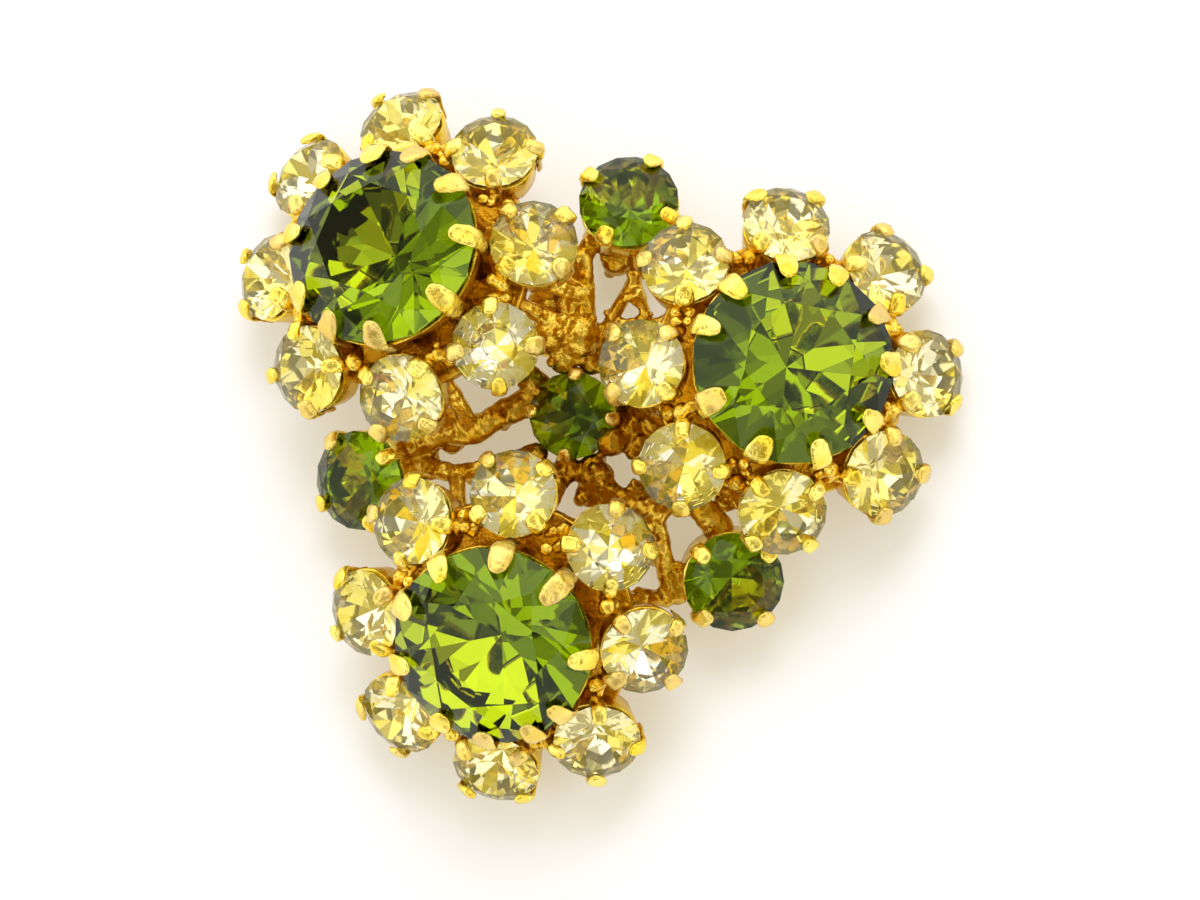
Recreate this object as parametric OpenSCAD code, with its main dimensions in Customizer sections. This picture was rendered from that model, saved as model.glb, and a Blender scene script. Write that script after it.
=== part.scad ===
// Flower brooch: three flowers of cut stones in one soldered gilt setting, lying face up.
// The origin is under the middle of the brooch's outline, +Z is up, and the surface it lies on is z = 0.
// Each flower has a large stone in a tall cup and a ring of small cups that lean outward round it.

/* [Layout] */
// How far each flower leans outward, in degrees
flower_tilt = 18; // [15:1:19]
// How far each ring stone leans outward from its flower's axis, in degrees
petal_tilt = 25; // [22:1:27]
// Distance from a flower's axis to the middle of each ring stone
ring_r = 7.86; // [7.8:0.02:8.1]
// Height of a large stone's girdle above the ring stones' girdles
large_rise = 2.6; // [2.4:0.1:2.9]
// How far each outer green stone leans outward, in degrees
outer_tilt = 22; // [18:1:24]
// Height of the outer green stones' girdles above the surface
outer_z = 3.5; // [3.4:0.05:3.8]
// Height of the middle green stone's girdle above the surface
middle_z = 3.3; // [3:0.05:3.6]

/* [Stones] */
// Girdle diameter of each large stone
large_d = 11; // [10.8:0.1:11.1]
// Girdle diameter of each pale ring stone
pale_d = 4.8; // [4.7:0.05:4.9]
// Girdle diameter of each outer green stone
outer_d = 5.5; // [5.2:0.1:5.6]
// Girdle diameter of the middle green stone
middle_d = 4.8; // [4.6:0.1:5]
// Crown height as a share of the diameter
crown_share = 0.16; // [0.14:0.01:0.17]
// Pavilion depth as a share of the diameter
depth_share = 0.37; // [0.34:0.01:0.38]
// Table width as a share of the diameter
table_share = 0.56; // [0.5:0.01:0.6]
// Clear space between a stone and its cup and tabs
stone_gap = 0.05; // [0.04:0.01:0.08]

/* [Cups] */
// Wall of a cup at its rim
cup_wall = 0.25; // [0.22:0.01:0.28]
// Thickness of a cup's floor
cup_floor = 0.3; // [0.25:0.05:0.4]
// Tabs round each large stone
large_tabs = 10; // [8:1:12]
// Width of a tab on a large stone
large_tab_w = 1.3; // [1.1:0.1:1.5]
// Reach of a tab over a large stone, measured in from its girdle
large_tab_reach = 1.35; // [1.1:0.05:1.5]
// Width of a tab on a small stone
small_tab_w = 1.0; // [0.8:0.05:1.1]
// Reach of a tab over a small stone
small_tab_reach = 0.75; // [0.6:0.05:0.9]
// Thickness of every tab
tab_t = 0.36; // [0.32:0.02:0.42]

/* [Frame] */
// Radius of the gallery plate under each flower
gallery_r = 7.0; // [6.8:0.05:7.15]
// Thickness of the gallery plate
gallery_t = 0.68; // [0.6:0.02:0.9]
// Height of the frame's arms
arm_t = 0.95; // [0.8:0.05:1.1]

/* [Pin] */
// Thickness of the pin stem
stem_d = 0.8; // [0.7:0.05:0.9]
// Height of the pin stem's middle above the surface
stem_z = 1.3; // [1.2:0.05:1.5]
// Length between the pin's hinge and its catch
pin_l = 22.6; // [22:0.1:23]

/* [Hidden] */
// Columns of the flower table: azimuth round the middle, distance out, turn of the ring of stones,
// turn of the large stone's tabs
AZ = 0;
OUT = 1;
TURN = 2;
TAB_TURN = 3;
flowers = [
    [136.5, 12.8, 4.0, 28],
    [252.8, 12.0, -7.3, 6],
    [373.0, 12.1, -1.0, 28]
];

// Rows of outer green stones, with the same columns, TURN being the turn of the four tabs
outer_greens = [
    [76.0, 12.4, 61],
    [194.6, 12.4, 28],
    [315.0, 12.4, 43]
];
middle_green = [110, 0.4, 38];

// Columns of an arm's stations: place from the middle green stone's axis, height, width
ARM_Z = 2;
ARM_W = 3;
arms = [
    // The column beside the top flower, up to the upper green cup, and the arm across from it
    [[0.4, 4.8, 3.0, 1.6], [0.5, 7.0, 3.3, 1.2], [0.45, 9.0, 3.3, 1.0], [1.19, 10.55, 2.6, 1.2]],
    [[1.5, 4.7, 3.0, 1.3], [2.45, 6.2, 3.3, 1.0], [3.1, 7.8, 3.1, 1.2], [3.2, 9.6, 2.4, 1.2]],
    [[3.2, 7.7, 3.1, 0.8], [3.75, 6.1, 3.5, 0.7]],
    // The leaf-shaped arm to the left green cup, and the band under it
    [
        [-2.2, 1.4, 2.8, 1.6], [-4.4, 0.3, 3.1, 1.1], [-5.6, -0.4, 3.2, 1.3],
        [-7.0, -0.35, 3.3, 1.5], [-9.2, -1.0, 2.7, 1.2]
    ],
    [[-2.2, -1.7, 2.8, 1.2], [-4.6, -2.4, 3.2, 1.0], [-6.6, -2.8, 3.3, 0.9], [-8.8, -2.3, 2.7, 1.2]],
    // The arm round the lower flower to the right green cup, and its neighbour on the other side
    [
        [0.7, -3.0, 3.0, 1.3], [2.6, -3.8, 3.2, 0.9], [4.5, -5.1, 3.3, 0.8],
        [4.9, -7.0, 3.3, 0.8], [5.1, -9.4, 2.8, 1.0]
    ],
    [[5.0, -9.6, 2.8, 0.9], [3.6, -9.5, 3.4, 0.7]],
    [[6.6, -4.4, 3.3, 1.3], [7.9, -5.9, 2.7, 1.6]]
];

// Columns of the link table: an arm, the station that the link starts from, the flower it goes to
LINK_ARM = 0;
LINK_STATION = 1;
LINK_FLOWER = 2;
links = [[0, 1, 0], [1, 1, 2], [3, 2, 0], [4, 2, 1], [5, 2, 1], [6, 1, 1], [7, 0, 2]];
// Arms with a web of metal from a station and the next one to a flower, with the same columns
webs = [[0, 0, 0]];

// Columns of the solder table: place, height of its middle, width
solder = [
    [0.1, 4.7, 3.5, 2.6],
    [-1.3, 4.8, 4.0, 2.2],
    [-0.6, 3.5, 3.3, 1.8],
    [-0.5, -2.6, 3.0, 1.6],
    [2.1, -1.5, 3.2, 1.8],
    [2.2, 9.0, 2.2, 2.0],
    [-8.6, -1.7, 2.3, 1.9]
];

// Columns of a tab's sections: place across and up, direction of its thickness, width, thickness
TAB_X = 0;
TAB_Z = 1;
TAB_A = 2;
TAB_W = 3;
TAB_T = 4;

// Middle of the brooch's outline, seen from the middle green stone's axis
outline_mid = [1.1, -1.19];

ring_count = 8;
small_tabs = 4;
girdle_sides = 16;
crown_sides = 8;
girdle_share = 0.025;
// Turn between a corner of the table and the middle of its side, and the same for the girdle
crown_half_step = 180 / crown_sides;
girdle_half_step = 180 / girdle_sides;
// Radius and height of the points of the large stones' star facets, as shares of the diameter
star_share = (1 + table_share) / 4;
star_h_share = crown_share * (0.5 - star_share * cos(crown_half_step)) / (0.5 - table_share / 2);
// The steepest slope of each crown, which the tabs lie along
small_slope = atan2(crown_share, 0.5 - table_share / 2);
large_slope = atan2(star_h_share, 0.5 - star_share);
// Radius of the large stones' back facets where they meet, as a share of the girdle's
back_share = 0.45;
// How much of the clear space round a stone is cut out of metal that comes near it
envelope_share = 0.8;
gallery_sides = 24;
gallery_drop = 0.1;
large_cup_depth = 4.55;
large_cup_base_r = 3.6;
small_cup_depth_share = 0.47;
small_cup_base_share = 0.44;
outer_cup_base_share = 0.48;
// Where a tab starts to fold over the crown, as a share of its reach, and how it leans and thins to its tip
tab_shoulder_share = 0.3;
tab_lean = 12;
tab_tip_w_share = 0.5;
tab_tip_t_share = 0.8;
// How far a cup's rim stands under the girdle, and how far it shows outside the stone
small_rim_drop = 0.44;
large_rim_drop = 0.45;
rim_show = 0.08;
// Turn of a small cup's tabs from the way that it leans
small_cup_turn = 45;
// Sides of a cup between one tab and the next
small_sides = 2;
large_sides = 1;
// Top width of an arm as a share of its foot's
arm_top_share = 0.7;
bar_step = 0.07;
hub_strut_w = 1.5;
link_w = 1.0;
// How far a link goes in under the gallery plate's edge
link_bite = 0.5;
hub_r = 2.8;
hub_drop = 0.79;
// Height and top width of a lump of solder as shares of its width
solder_h_share = 0.6;
solder_top_share = 0.55;

large_cup_base_h = large_rise - large_cup_depth;

// The pin: its hinge's place, the stem's direction, the flowers that it hangs under, and its small parts
hinge = [-9.5, 6];
pin_turn = -14;
hinge_flower = 0;
catch_flower = 2;
slab_w = 20;
hinge_l = 2.6;
hinge_w = 2.4;
barrel_d = 1.7;
block_h = 5;
hook_r = 0.38;
hook_t = 0.55;
hook_w = 1.5;
hook_open = 40;
point_l = 1.2;
point_share = 0.3;

gold = "goldenrod";
pale_glass = "khaki";
green_glass = "olivedrab";
pin_metal = "darkgoldenrod";

// A point turned about the vertical axis
function turned(p, a) = [p.x * cos(a) - p.y * sin(a), p.x * sin(a) + p.y * cos(a), p.z];

// A point leaned toward +X about the Y axis
function leaned(p, a) = [p.x * cos(a) + p.z * sin(a), p.y, p.z * cos(a) - p.x * sin(a)];

// The turn of a ring stone in its flower's own frame
function petal_turn(f, k) = 360 / ring_count * k + flowers[f][TURN] - flowers[f][AZ];

// Height of a corner of a ring cup's base above the middle of its leaning flower
function base_corner_z(f, k, a) =
    let (
        r = pale_d * small_cup_base_share,
        corner = [r * cos(a), r * sin(a), -pale_d * small_cup_depth_share]
    )
    leaned(turned(leaned(corner, petal_tilt) + [ring_r, 0, 0], petal_turn(f, k)), flower_tilt).z;

// Height of a flower's middle that rests its lowest cup on the surface
function flower_z(f) = -min([
    for (k = [0:ring_count - 1], a = small_cup_turns()) base_corner_z(f, k, a + small_cup_turn)
]);

// A flower's own point, seen from the middle of the layout
function flower_point(f, p) =
    turned(leaned(p, flower_tilt) + [flowers[f][OUT], 0, flower_z(f)], flowers[f][AZ]);

// The place of an arm's station
function station(a, i) = [arms[a][i].x, arms[a][i].y, arms[a][i][ARM_Z]];

// A ring of points at one height
function ring_of(n, r, z, start) = [
    for (i = [0:n - 1])
        let (a = start + 360 / n * i)
        [r * cos(a), r * sin(a), z]
];

module layout() {
    translate([-outline_mid.x, -outline_mid.y, 0]) children();
}

module in_flower(f) {
    layout()
        rotate([0, 0, flowers[f][AZ]])
            translate([flowers[f][OUT], 0, flower_z(f)])
                rotate([0, flower_tilt, 0])
                    children();
}

module at_large(f) {
    in_flower(f) translate([0, 0, large_rise]) children();
}

module at_petal(f, k) {
    in_flower(f)
        rotate([0, 0, petal_turn(f, k)])
            translate([ring_r, 0, 0])
                rotate([0, petal_tilt, 0])
                    children();
}

module at_outer(b) {
    layout()
        rotate([0, 0, outer_greens[b][AZ]])
            translate([outer_greens[b][OUT], 0, outer_z])
                rotate([0, outer_tilt, 0])
                    rotate([0, 0, outer_greens[b][TURN] - outer_greens[b][AZ] - small_cup_turn])
                        children();
}

module at_middle() {
    layout()
        rotate([0, 0, middle_green[AZ]])
            translate([middle_green[OUT], 0, middle_z])
                rotate([0, 0, middle_green[TURN] - middle_green[AZ]])
                    children();
}

module solid_of(points) {
    hull() polyhedron(points = points, faces = [[for (i = [0:len(points) - 1]) i]]);
}

// A small cut stone: eight-sided table, eight crown facets with triangles between, pointed back
module small_cut(d, grow = 0) {
    r = d / 2 + grow;
    table_r = d * table_share / 2 + grow / 2;
    crown_h = d * crown_share + grow;
    girdle_h = d * girdle_share + grow;
    back_z = -d * depth_share - grow;
    solid_of(concat(
        ring_of(crown_sides, table_r, crown_h, crown_half_step),
        ring_of(girdle_sides, r, grow, girdle_half_step),
        ring_of(girdle_sides, r, -girdle_h, girdle_half_step),
        [[0, 0, back_z]]
    ));
}

// A large cut stone with star, kite and girdle facets on the crown and kites on the back
module large_cut(d, grow = 0) {
    r = d / 2 + grow;
    table_r = d * table_share / 2 + grow / 2;
    crown_h = d * crown_share + grow;
    girdle_h = d * girdle_share / 2 + grow;
    depth = d * depth_share + grow;
    star_r = d * star_share + grow / 2;
    star_z = d * star_h_share + grow;
    back_r = r * back_share;
    back_z = -girdle_h - (depth - girdle_h) * (r - back_r * cos(crown_half_step)) / r;
    solid_of(concat(
        ring_of(crown_sides, table_r, crown_h, 0),
        ring_of(crown_sides, star_r, star_z, crown_half_step),
        ring_of(girdle_sides, r, grow, 0),
        ring_of(girdle_sides, r, -girdle_h, 0),
        ring_of(crown_sides, back_r, back_z, crown_half_step),
        [[0, 0, -depth]]
    ));
}

// Corners of one cross-section of a tab, in the cup's own frame before it is turned into place
function tab_corners(row) = [
    for (c = [[-1, -1], [1, -1], [1, 1], [-1, 1]])
        [
            row[TAB_X] + c.x * row[TAB_T] / 2 * cos(row[TAB_A]),
            c.y * row[TAB_W] / 2,
            row[TAB_Z] + c.x * row[TAB_T] / 2 * sin(row[TAB_A])
        ]
];

// Sections of a tab that steps out past the girdle and folds down over the crown
function tab_rows(d, rim_z, w, reach, slope) =
    let (
        r = d / 2,
        lift = (stone_gap + tab_t / 2) / cos(slope),
        side_x = r + stone_gap + tab_t / 2,
        shoulder_x = r - reach * tab_shoulder_share,
        tip_x = r - reach
    )
    [
        [side_x, (rim_z - d * girdle_share) / 2, 0, w, tab_t],
        [side_x, tab_t * tab_shoulder_share, tab_lean, w, tab_t],
        [shoulder_x, (r - shoulder_x) * tan(slope) + lift, 90 - slope, w, tab_t],
        [tip_x, (r - tip_x) * tan(slope) + lift, 90 - slope, w * tab_tip_w_share, tab_t * tab_tip_t_share]
    ];

// Angles of a cup's corners: each tab stands on one side, with a few sides between tabs
function corner_turns(tabs, half, between) = [
    for (i = [0:tabs - 1])
        each concat(
            [360 / tabs * i - half],
            [for (j = [0:between - 1]) 360 / tabs * i + half + (360 / tabs - 2 * half) / between * j]
        )
];

function tab_half_angle(d, w) = asin(w / 2 / (d / 2 + rim_show));

function small_cup_turns() = corner_turns(small_tabs, tab_half_angle(pale_d, small_tab_w), small_sides);

function corners(turns, r, z) = [for (a = turns) [r * cos(a), r * sin(a), z]];

// Two triangles for a four-cornered side
function side_of(a, b, c, d) = [[a, b, c], [a, c, d]];

// A closed tapered cup with tabs that grow out of its rim
module mount(d, depth, rim_drop, base_r, tabs, w, reach, slope, between) {
    rim_z = -rim_drop;
    rim_r = d / 2 + rim_show;
    turns = corner_turns(tabs, tab_half_angle(d, w), between);
    n = len(turns);
    step = between + 1;
    rows = tab_rows(d, rim_z, w, reach, slope);
    tab_start = 4 * n;
    points = concat(
        corners(turns, base_r, -depth),
        corners(turns, rim_r, rim_z),
        corners(turns, rim_r - cup_wall, rim_z),
        corners(turns, base_r - cup_wall, cup_floor - depth),
        [for (t = [0:tabs - 1], row = rows, p = tab_corners(row)) turned(p, 360 / tabs * t)]
    );
    walls = [
        for (ring = [0:2], i = [0:n - 1])
            if (ring != 1 || i % step != 0)
                let (a = ring * n + i, b = ring * n + (i + 1) % n)
                each side_of(a, b, b + n, a + n)
    ];
    floors = [
        for (i = [1:n - 2])
            each [[0, i + 1, i], [3 * n, 3 * n + i, 3 * n + i + 1]]
    ];
    tab_sides = [
        for (t = [0:tabs - 1])
            let (
                i = t * step,
                first = tab_start + 4 * len(rows) * t,
                foot = [2 * n + i, n + i, n + i + 1, 2 * n + i + 1],
                loops = concat([foot], [for (k = [0:len(rows) - 1]) [for (j = [0:3]) first + 4 * k + j]]),
                tip = loops[len(rows)]
            )
            each concat(
                [
                    for (k = [0:len(rows) - 1], j = [0:3])
                        let (low = loops[k], high = loops[k + 1], next = (j + 1) % 4)
                        each side_of(low[j], low[next], high[next], high[j])
                ],
                side_of(tip[0], tip[1], tip[2], tip[3])
            )
    ];
    polyhedron(points = points, faces = [for (f = concat(walls, floors, tab_sides)) [f[2], f[1], f[0]]]);
}

module small_mount(d, base_share = small_cup_base_share) {
    depth = d * small_cup_depth_share;
    base_r = d * base_share;
    rotate([0, 0, small_cup_turn])
        mount(
            d, depth, small_rim_drop, base_r,
            small_tabs, small_tab_w, small_tab_reach, small_slope, small_sides
        );
}

module large_mount(f) {
    rotate([0, 0, flowers[f][TAB_TURN] - flowers[f][AZ]])
        mount(
            large_d, large_cup_depth, large_rim_drop, large_cup_base_r,
            large_tabs, large_tab_w, large_tab_reach, large_slope, large_sides
        );
}

// The round plate under a flower that its cups stand on
module gallery() {
    translate([0, 0, large_cup_base_h - gallery_drop])
        cylinder(h = gallery_t, r = gallery_r, $fn = gallery_sides);
}

// A bar between two points, flat below and narrower on top
module bar(a, b, wa, wb) {
    hull() {
        post(a, wa);
        post(b, wb);
    }
}

// The nearest point of a flower's gallery plate to a point of the frame
function gallery_point(f, p) =
    let (
        away = turned([p.x, p.y, 0], -flowers[f][AZ]) - [flowers[f][OUT], 0, 0],
        a = atan2(away.y, away.x),
        r = gallery_r - link_bite
    )
    flower_point(f, [r * cos(a), r * sin(a), large_cup_base_h + gallery_t / 2]);

module post(p, w) {
    translate([p.x, p.y, p.z - arm_t / 2]) cylinder(h = arm_t, d1 = w, d2 = w * arm_top_share, $fn = 6);
}

// The bars of an arm stand a little higher and lower in turn, so that no two faces lie in one plane
module arm(a) {
    for (i = [0:len(arms[a]) - 2]) {
        lift = [0, 0, i % 2 * bar_step];
        bar(station(a, i) + lift, station(a, i + 1) + lift, arms[a][i][ARM_W], arms[a][i + 1][ARM_W]);
    }
}

// A bar from an arm's station to the nearest edge of a flower's gallery plate
module link(row) {
    start = station(row[LINK_ARM], row[LINK_STATION]);
    bar(start, gallery_point(row[LINK_FLOWER], start), link_w, link_w);
}

// A web between two stations of an arm and the gallery plate beside it
module web(row) {
    hull()
        for (i = [0, 1]) {
            p = station(row[LINK_ARM], row[LINK_STATION] + i);
            post(p, arms[row[LINK_ARM]][row[LINK_STATION] + i][ARM_W]);
            post(gallery_point(row[LINK_FLOWER], p), link_w);
        }
}

module solder_lump(row) {
    h = row[ARM_W] * solder_h_share;
    translate([row.x, row.y, row[ARM_Z] - h / 2])
        cylinder(h = h, d1 = row[ARM_W], d2 = row[ARM_W] * solder_top_share, $fn = 7);
}

// A strut from the middle cup to a flower's gallery plate
module hub_strut(f) {
    start = turned([hub_r, 0, middle_z - hub_drop], flowers[f][AZ]);
    bar(start, gallery_point(f, start), hub_strut_w, hub_strut_w);
}

module frame() {
    layout() {
        for (a = [0:len(arms) - 1]) arm(a);
        for (row = links) link(row);
        for (row = webs) web(row);
        for (row = solder) solder_lump(row);
        for (f = [0:2]) hub_strut(f);
    }
}

module stones(grow = 0) {
    for (f = [0:2]) {
        at_large(f) large_cut(large_d, grow);
        for (k = [0:ring_count - 1]) at_petal(f, k) small_cut(pale_d, grow);
        at_outer(f) small_cut(outer_d, grow);
    }
    at_middle() small_cut(middle_d, grow);
}

module setting() {
    color(gold)
        difference() {
            union() {
                for (f = [0:2]) {
                    at_large(f) large_mount(f);
                    in_flower(f) gallery();
                    for (k = [0:ring_count - 1]) at_petal(f, k) small_mount(pale_d);
                    at_outer(f) small_mount(outer_d, outer_cup_base_share);
                }
                at_middle() small_mount(middle_d);
                frame();
            }
            stones(stone_gap * envelope_share);
        }
}

module large_stone(f) {
    color(green_glass) at_large(f) large_cut(large_d);
}

module pale_stone(f, k) {
    color(pale_glass) at_petal(f, k) small_cut(pale_d);
}

module green_stone(b) {
    color(green_glass) {
        if (b < 3) at_outer(b) small_cut(outer_d);
        else at_middle() small_cut(middle_d);
    }
}

// The space above a flower's underside, which the pin's blocks are cut off against
module above_flower(f) {
    in_flower(f)
        translate([-slab_w / 2, -slab_w / 2, large_cup_base_h - gallery_drop - stone_gap])
            cube([slab_w, slab_w, slab_w]);
}

// Where the pin's hinge is, with +X along the stem
module at_pin() {
    layout() translate([hinge.x, hinge.y, stem_z]) rotate([0, 0, pin_turn]) children();
}

module hinge_block() {
    translate([-hinge_l / 2, -hinge_w / 2, 0]) cube([hinge_l, hinge_w, block_h]);
    translate([0, hinge_w / 2, 0]) rotate([90, 0, 0]) cylinder(h = hinge_w, d = barrel_d, $fn = 32);
}

// An open hook that the stem's end lies in, under its post
module catch() {
    rotate([0, 90, 0])
        translate([0, 0, -hook_w / 2])
            rotate([0, 0, hook_open])
                rotate_extrude(angle = 360 - 2 * hook_open, $fn = 48)
                    translate([hook_r, 0]) square([hook_t, hook_w]);
    translate([-hook_w / 2, -hook_t, hook_r]) cube([hook_w, hook_t * 2, block_h]);
}

module stem() {
    rotate([0, 90, 0]) cylinder(h = pin_l + hook_w / 2, d = stem_d, $fn = 24);
    translate([pin_l + hook_w / 2, 0, 0])
        rotate([0, 90, 0]) cylinder(h = point_l, d1 = stem_d, d2 = stem_d * point_share, $fn = 24);
}

module pin_back() {
    color(pin_metal) {
        difference() {
            at_pin() hinge_block();
            above_flower(hinge_flower);
        }
        difference() {
            at_pin() translate([pin_l, 0, 0]) catch();
            above_flower(catch_flower);
        }
        at_pin() stem();
    }
}

setting();
for (f = [0:2])
    large_stone(f);
for (i = [0:3 * ring_count - 1])
    pale_stone(floor(i / ring_count), i % ring_count);
for (b = [0:3])
    green_stone(b);
pin_back();
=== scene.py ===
"""Flower brooch: three flowers of cut glass stones in one soldered gilt setting, lying face up.

Sizes are in millimetres. Every piece is made on a bench at one unit a millimetre, and is scaled to metres
when it is handed over. +X is the brooch's right, +Y its top and +Z out of its face.
"""

import logging
import math
import random
from collections.abc import Callable, Iterable, Iterator
from contextlib import contextmanager
from dataclasses import dataclass, field
from enum import Enum
from functools import reduce

import bmesh
import bpy
from mathutils import Matrix, Vector


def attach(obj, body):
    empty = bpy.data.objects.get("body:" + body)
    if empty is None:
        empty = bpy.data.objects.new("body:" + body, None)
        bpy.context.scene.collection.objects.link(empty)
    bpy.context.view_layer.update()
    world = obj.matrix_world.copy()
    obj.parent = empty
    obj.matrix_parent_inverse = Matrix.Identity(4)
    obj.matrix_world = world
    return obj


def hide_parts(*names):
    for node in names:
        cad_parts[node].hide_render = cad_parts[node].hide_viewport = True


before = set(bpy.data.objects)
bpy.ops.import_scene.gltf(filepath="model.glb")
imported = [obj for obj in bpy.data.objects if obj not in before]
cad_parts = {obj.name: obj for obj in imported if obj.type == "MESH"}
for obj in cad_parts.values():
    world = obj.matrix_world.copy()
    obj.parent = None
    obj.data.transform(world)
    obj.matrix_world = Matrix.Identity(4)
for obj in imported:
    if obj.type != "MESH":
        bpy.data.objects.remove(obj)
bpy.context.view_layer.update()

Colour = tuple[float, float, float]
Direction = tuple[float, float, float]
Pair = tuple[float, float]
Span = tuple[float, float]
Stops = tuple[tuple[float, Colour], ...]
Socket = bpy.types.NodeSocket
Piece = bpy.types.Object
Finish = bpy.types.Material
Edge = bmesh.types.BMEdge
Element = bmesh.types.BMFace | Edge

MM = 0.001
BODY = "root"
HAIR = 0.01  # Two heights or radii nearer than this, in millimetres, count as the same.
FLAT = 0.9  # A face counts as level where its normal points up or down by more than this.
SHARP = 40.0  # Edges sharper than this many degrees stay sharp on smooth metal.
CUP_TURN = 45.0  # The small cups' first tab stands at this many degrees round the stone.
log = logging.getLogger("brooch")


class Slot(Enum):
    """The material slots that the pieces made here stand for; no piece is given one here."""

    GILT = "gilt"
    GREEN = "green_glass"
    PALE = "pale_glass"


class Bench:
    """The maker's bench: one piece at a time, with its faces and edges chosen by where they lie."""

    @staticmethod
    def clear() -> None:
        """Deselects everything."""
        bpy.ops.object.select_all(action="DESELECT")

    @staticmethod
    def take(*pieces: Piece) -> None:
        """Selects pieces alone, and makes the first of them the active one."""
        Bench.clear()
        for piece in pieces:
            piece.select_set(True)
        bpy.context.view_layer.objects.active = pieces[0]

    @staticmethod
    def settle(*pieces: Piece) -> None:
        """Puts the place, turn and scale of pieces into their meshes."""
        Bench.take(*pieces)
        bpy.ops.object.transform_apply(location=True, rotation=True, scale=True)

    @staticmethod
    @contextmanager
    def shaping(piece: Piece, mode: str = "FACE") -> Iterator[None]:
        """Holds a piece in edit mode while its faces or edges are worked.

        Args:
            piece: The piece to shape.
            mode: What is selected: VERT, EDGE or FACE.
        """
        Bench.take(piece)
        bpy.ops.object.mode_set(mode="EDIT")
        bpy.ops.mesh.select_mode(type=mode)
        try:
            yield
        finally:
            bpy.ops.object.mode_set(mode="OBJECT")

    @staticmethod
    def choose(piece: Piece, kind: str, wanted: Callable[[Element], bool]) -> None:
        """Selects the faces or edges that a test picks, in edit mode.

        Args:
            piece: The piece in edit mode.
            kind: What is selected: faces or edges.
            wanted: The test on each of them.
        """
        mesh = bmesh.from_edit_mesh(piece.data)
        bpy.ops.mesh.select_all(action="DESELECT")
        for element in getattr(mesh, kind):
            element.select_set(wanted(element))
        bmesh.update_edit_mesh(piece.data)

    @staticmethod
    def choose_top(piece: Piece) -> None:
        """Selects the level faces that look up."""
        Bench.choose(piece, "faces", lambda face: face.normal.z > FLAT)

    @staticmethod
    def choose_base(piece: Piece) -> None:
        """Selects the level faces that look down."""
        Bench.choose(piece, "faces", lambda face: face.normal.z < -FLAT)

    @staticmethod
    def ready(name: str) -> Piece:
        """Names the primitive just added, and puts its place, turn and scale into its mesh.

        Args:
            name: The new piece's name.

        Returns:
            The new piece.
        """
        piece = bpy.context.object
        piece.name = name
        Bench.settle(piece)
        return piece

    @staticmethod
    def blank(name: str, sides: int, radius: float, high: float, middle: float) -> Piece:
        """Adds a round blank that stands on the axis.

        Args:
            name: Its name.
            sides: How many sides it has.
            radius: Its radius.
            high: Its height.
            middle: How high its middle is.

        Returns:
            The blank.
        """
        Bench.clear()
        spot = (0, 0, middle)
        bpy.ops.mesh.primitive_cylinder_add(vertices=sides, radius=radius, depth=high, location=spot)
        return Bench.ready(name)

    @staticmethod
    def modify(piece: Piece, kind: str, **settings: object) -> None:
        """Adds a modifier to a piece and applies it.

        Args:
            piece: The piece to finish.
            kind: The modifier's type.
            settings: The modifier's values.
        """
        Bench.take(piece)
        modifier = piece.modifiers.new(kind.title(), kind)
        for name, value in settings.items():
            setattr(modifier, name, value)
        bpy.ops.object.modifier_apply(modifier=modifier.name)

    @staticmethod
    def dent(piece: Piece, name: str, dents: tuple[Pair, ...]) -> None:
        """Gives a piece the small unevenness of metal that is melted, bent or pressed by hand.

        Args:
            piece: The joined piece.
            name: What its dents are called.
            dents: The size and the depth of each kind of dent.
        """
        for size, strength in dents:
            cloud = bpy.data.textures.new(f"{name}_{size}", "CLOUDS")
            cloud.noise_scale = size
            Bench.modify(
                piece, "DISPLACE", texture=cloud, strength=strength, mid_level=0.5, texture_coords="LOCAL"
            )

    @staticmethod
    def copy(piece: Piece, place: Matrix) -> Piece:
        """Copies a piece with a mesh of its own and puts the copy in place.

        Args:
            piece: The model that is copied.
            place: Where the copy goes, in millimetres.

        Returns:
            The copy, with its place in its mesh.
        """
        twin = piece.copy()
        twin.data = piece.data.copy()
        bpy.context.scene.collection.objects.link(twin)
        twin.data.transform(place)
        return twin

    @staticmethod
    def join(pieces: list[Piece], name: str) -> Piece:
        """Joins pieces into the first one.

        Args:
            pieces: The pieces to join.
            name: The joined piece's name.

        Returns:
            The joined piece.
        """
        Bench.take(*pieces)
        bpy.ops.object.join()
        pieces[0].name = pieces[0].data.name = name
        return pieces[0]

    @staticmethod
    def smooth(piece: Piece) -> None:
        """Shades a piece smooth, but for its sharp edges."""
        Bench.take(piece)
        bpy.ops.object.shade_smooth_by_angle(angle=math.radians(SHARP))

    @staticmethod
    def is_round(edge: Edge) -> bool:
        """Whether an edge runs round the axis and not toward it."""
        near, far = sorted(vert.co.xy.length for vert in edge.verts)
        return far - near < HAIR

    @staticmethod
    def grade(piece: Piece, name: str, value: Callable[[Vector], float]) -> None:
        """Writes a value on each point of a piece, worked out from where the point lies."""
        layer = piece.data.attributes.get(name) or piece.data.attributes.new(name, "FLOAT", "POINT")
        layer.data.foreach_set("value", [value(point.co) for point in piece.data.vertices])

    @staticmethod
    def mark(piece: Piece, name: str, value: float) -> None:
        """Writes one value on every point of a piece."""
        Bench.grade(piece, name, lambda place: value)

    @staticmethod
    def dress(piece: Piece, *finishes: Finish) -> None:
        """Gives a piece its finishes, in place of any that it has."""
        piece.data.materials.clear()
        for finish in finishes:
            piece.data.materials.append(finish)

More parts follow.
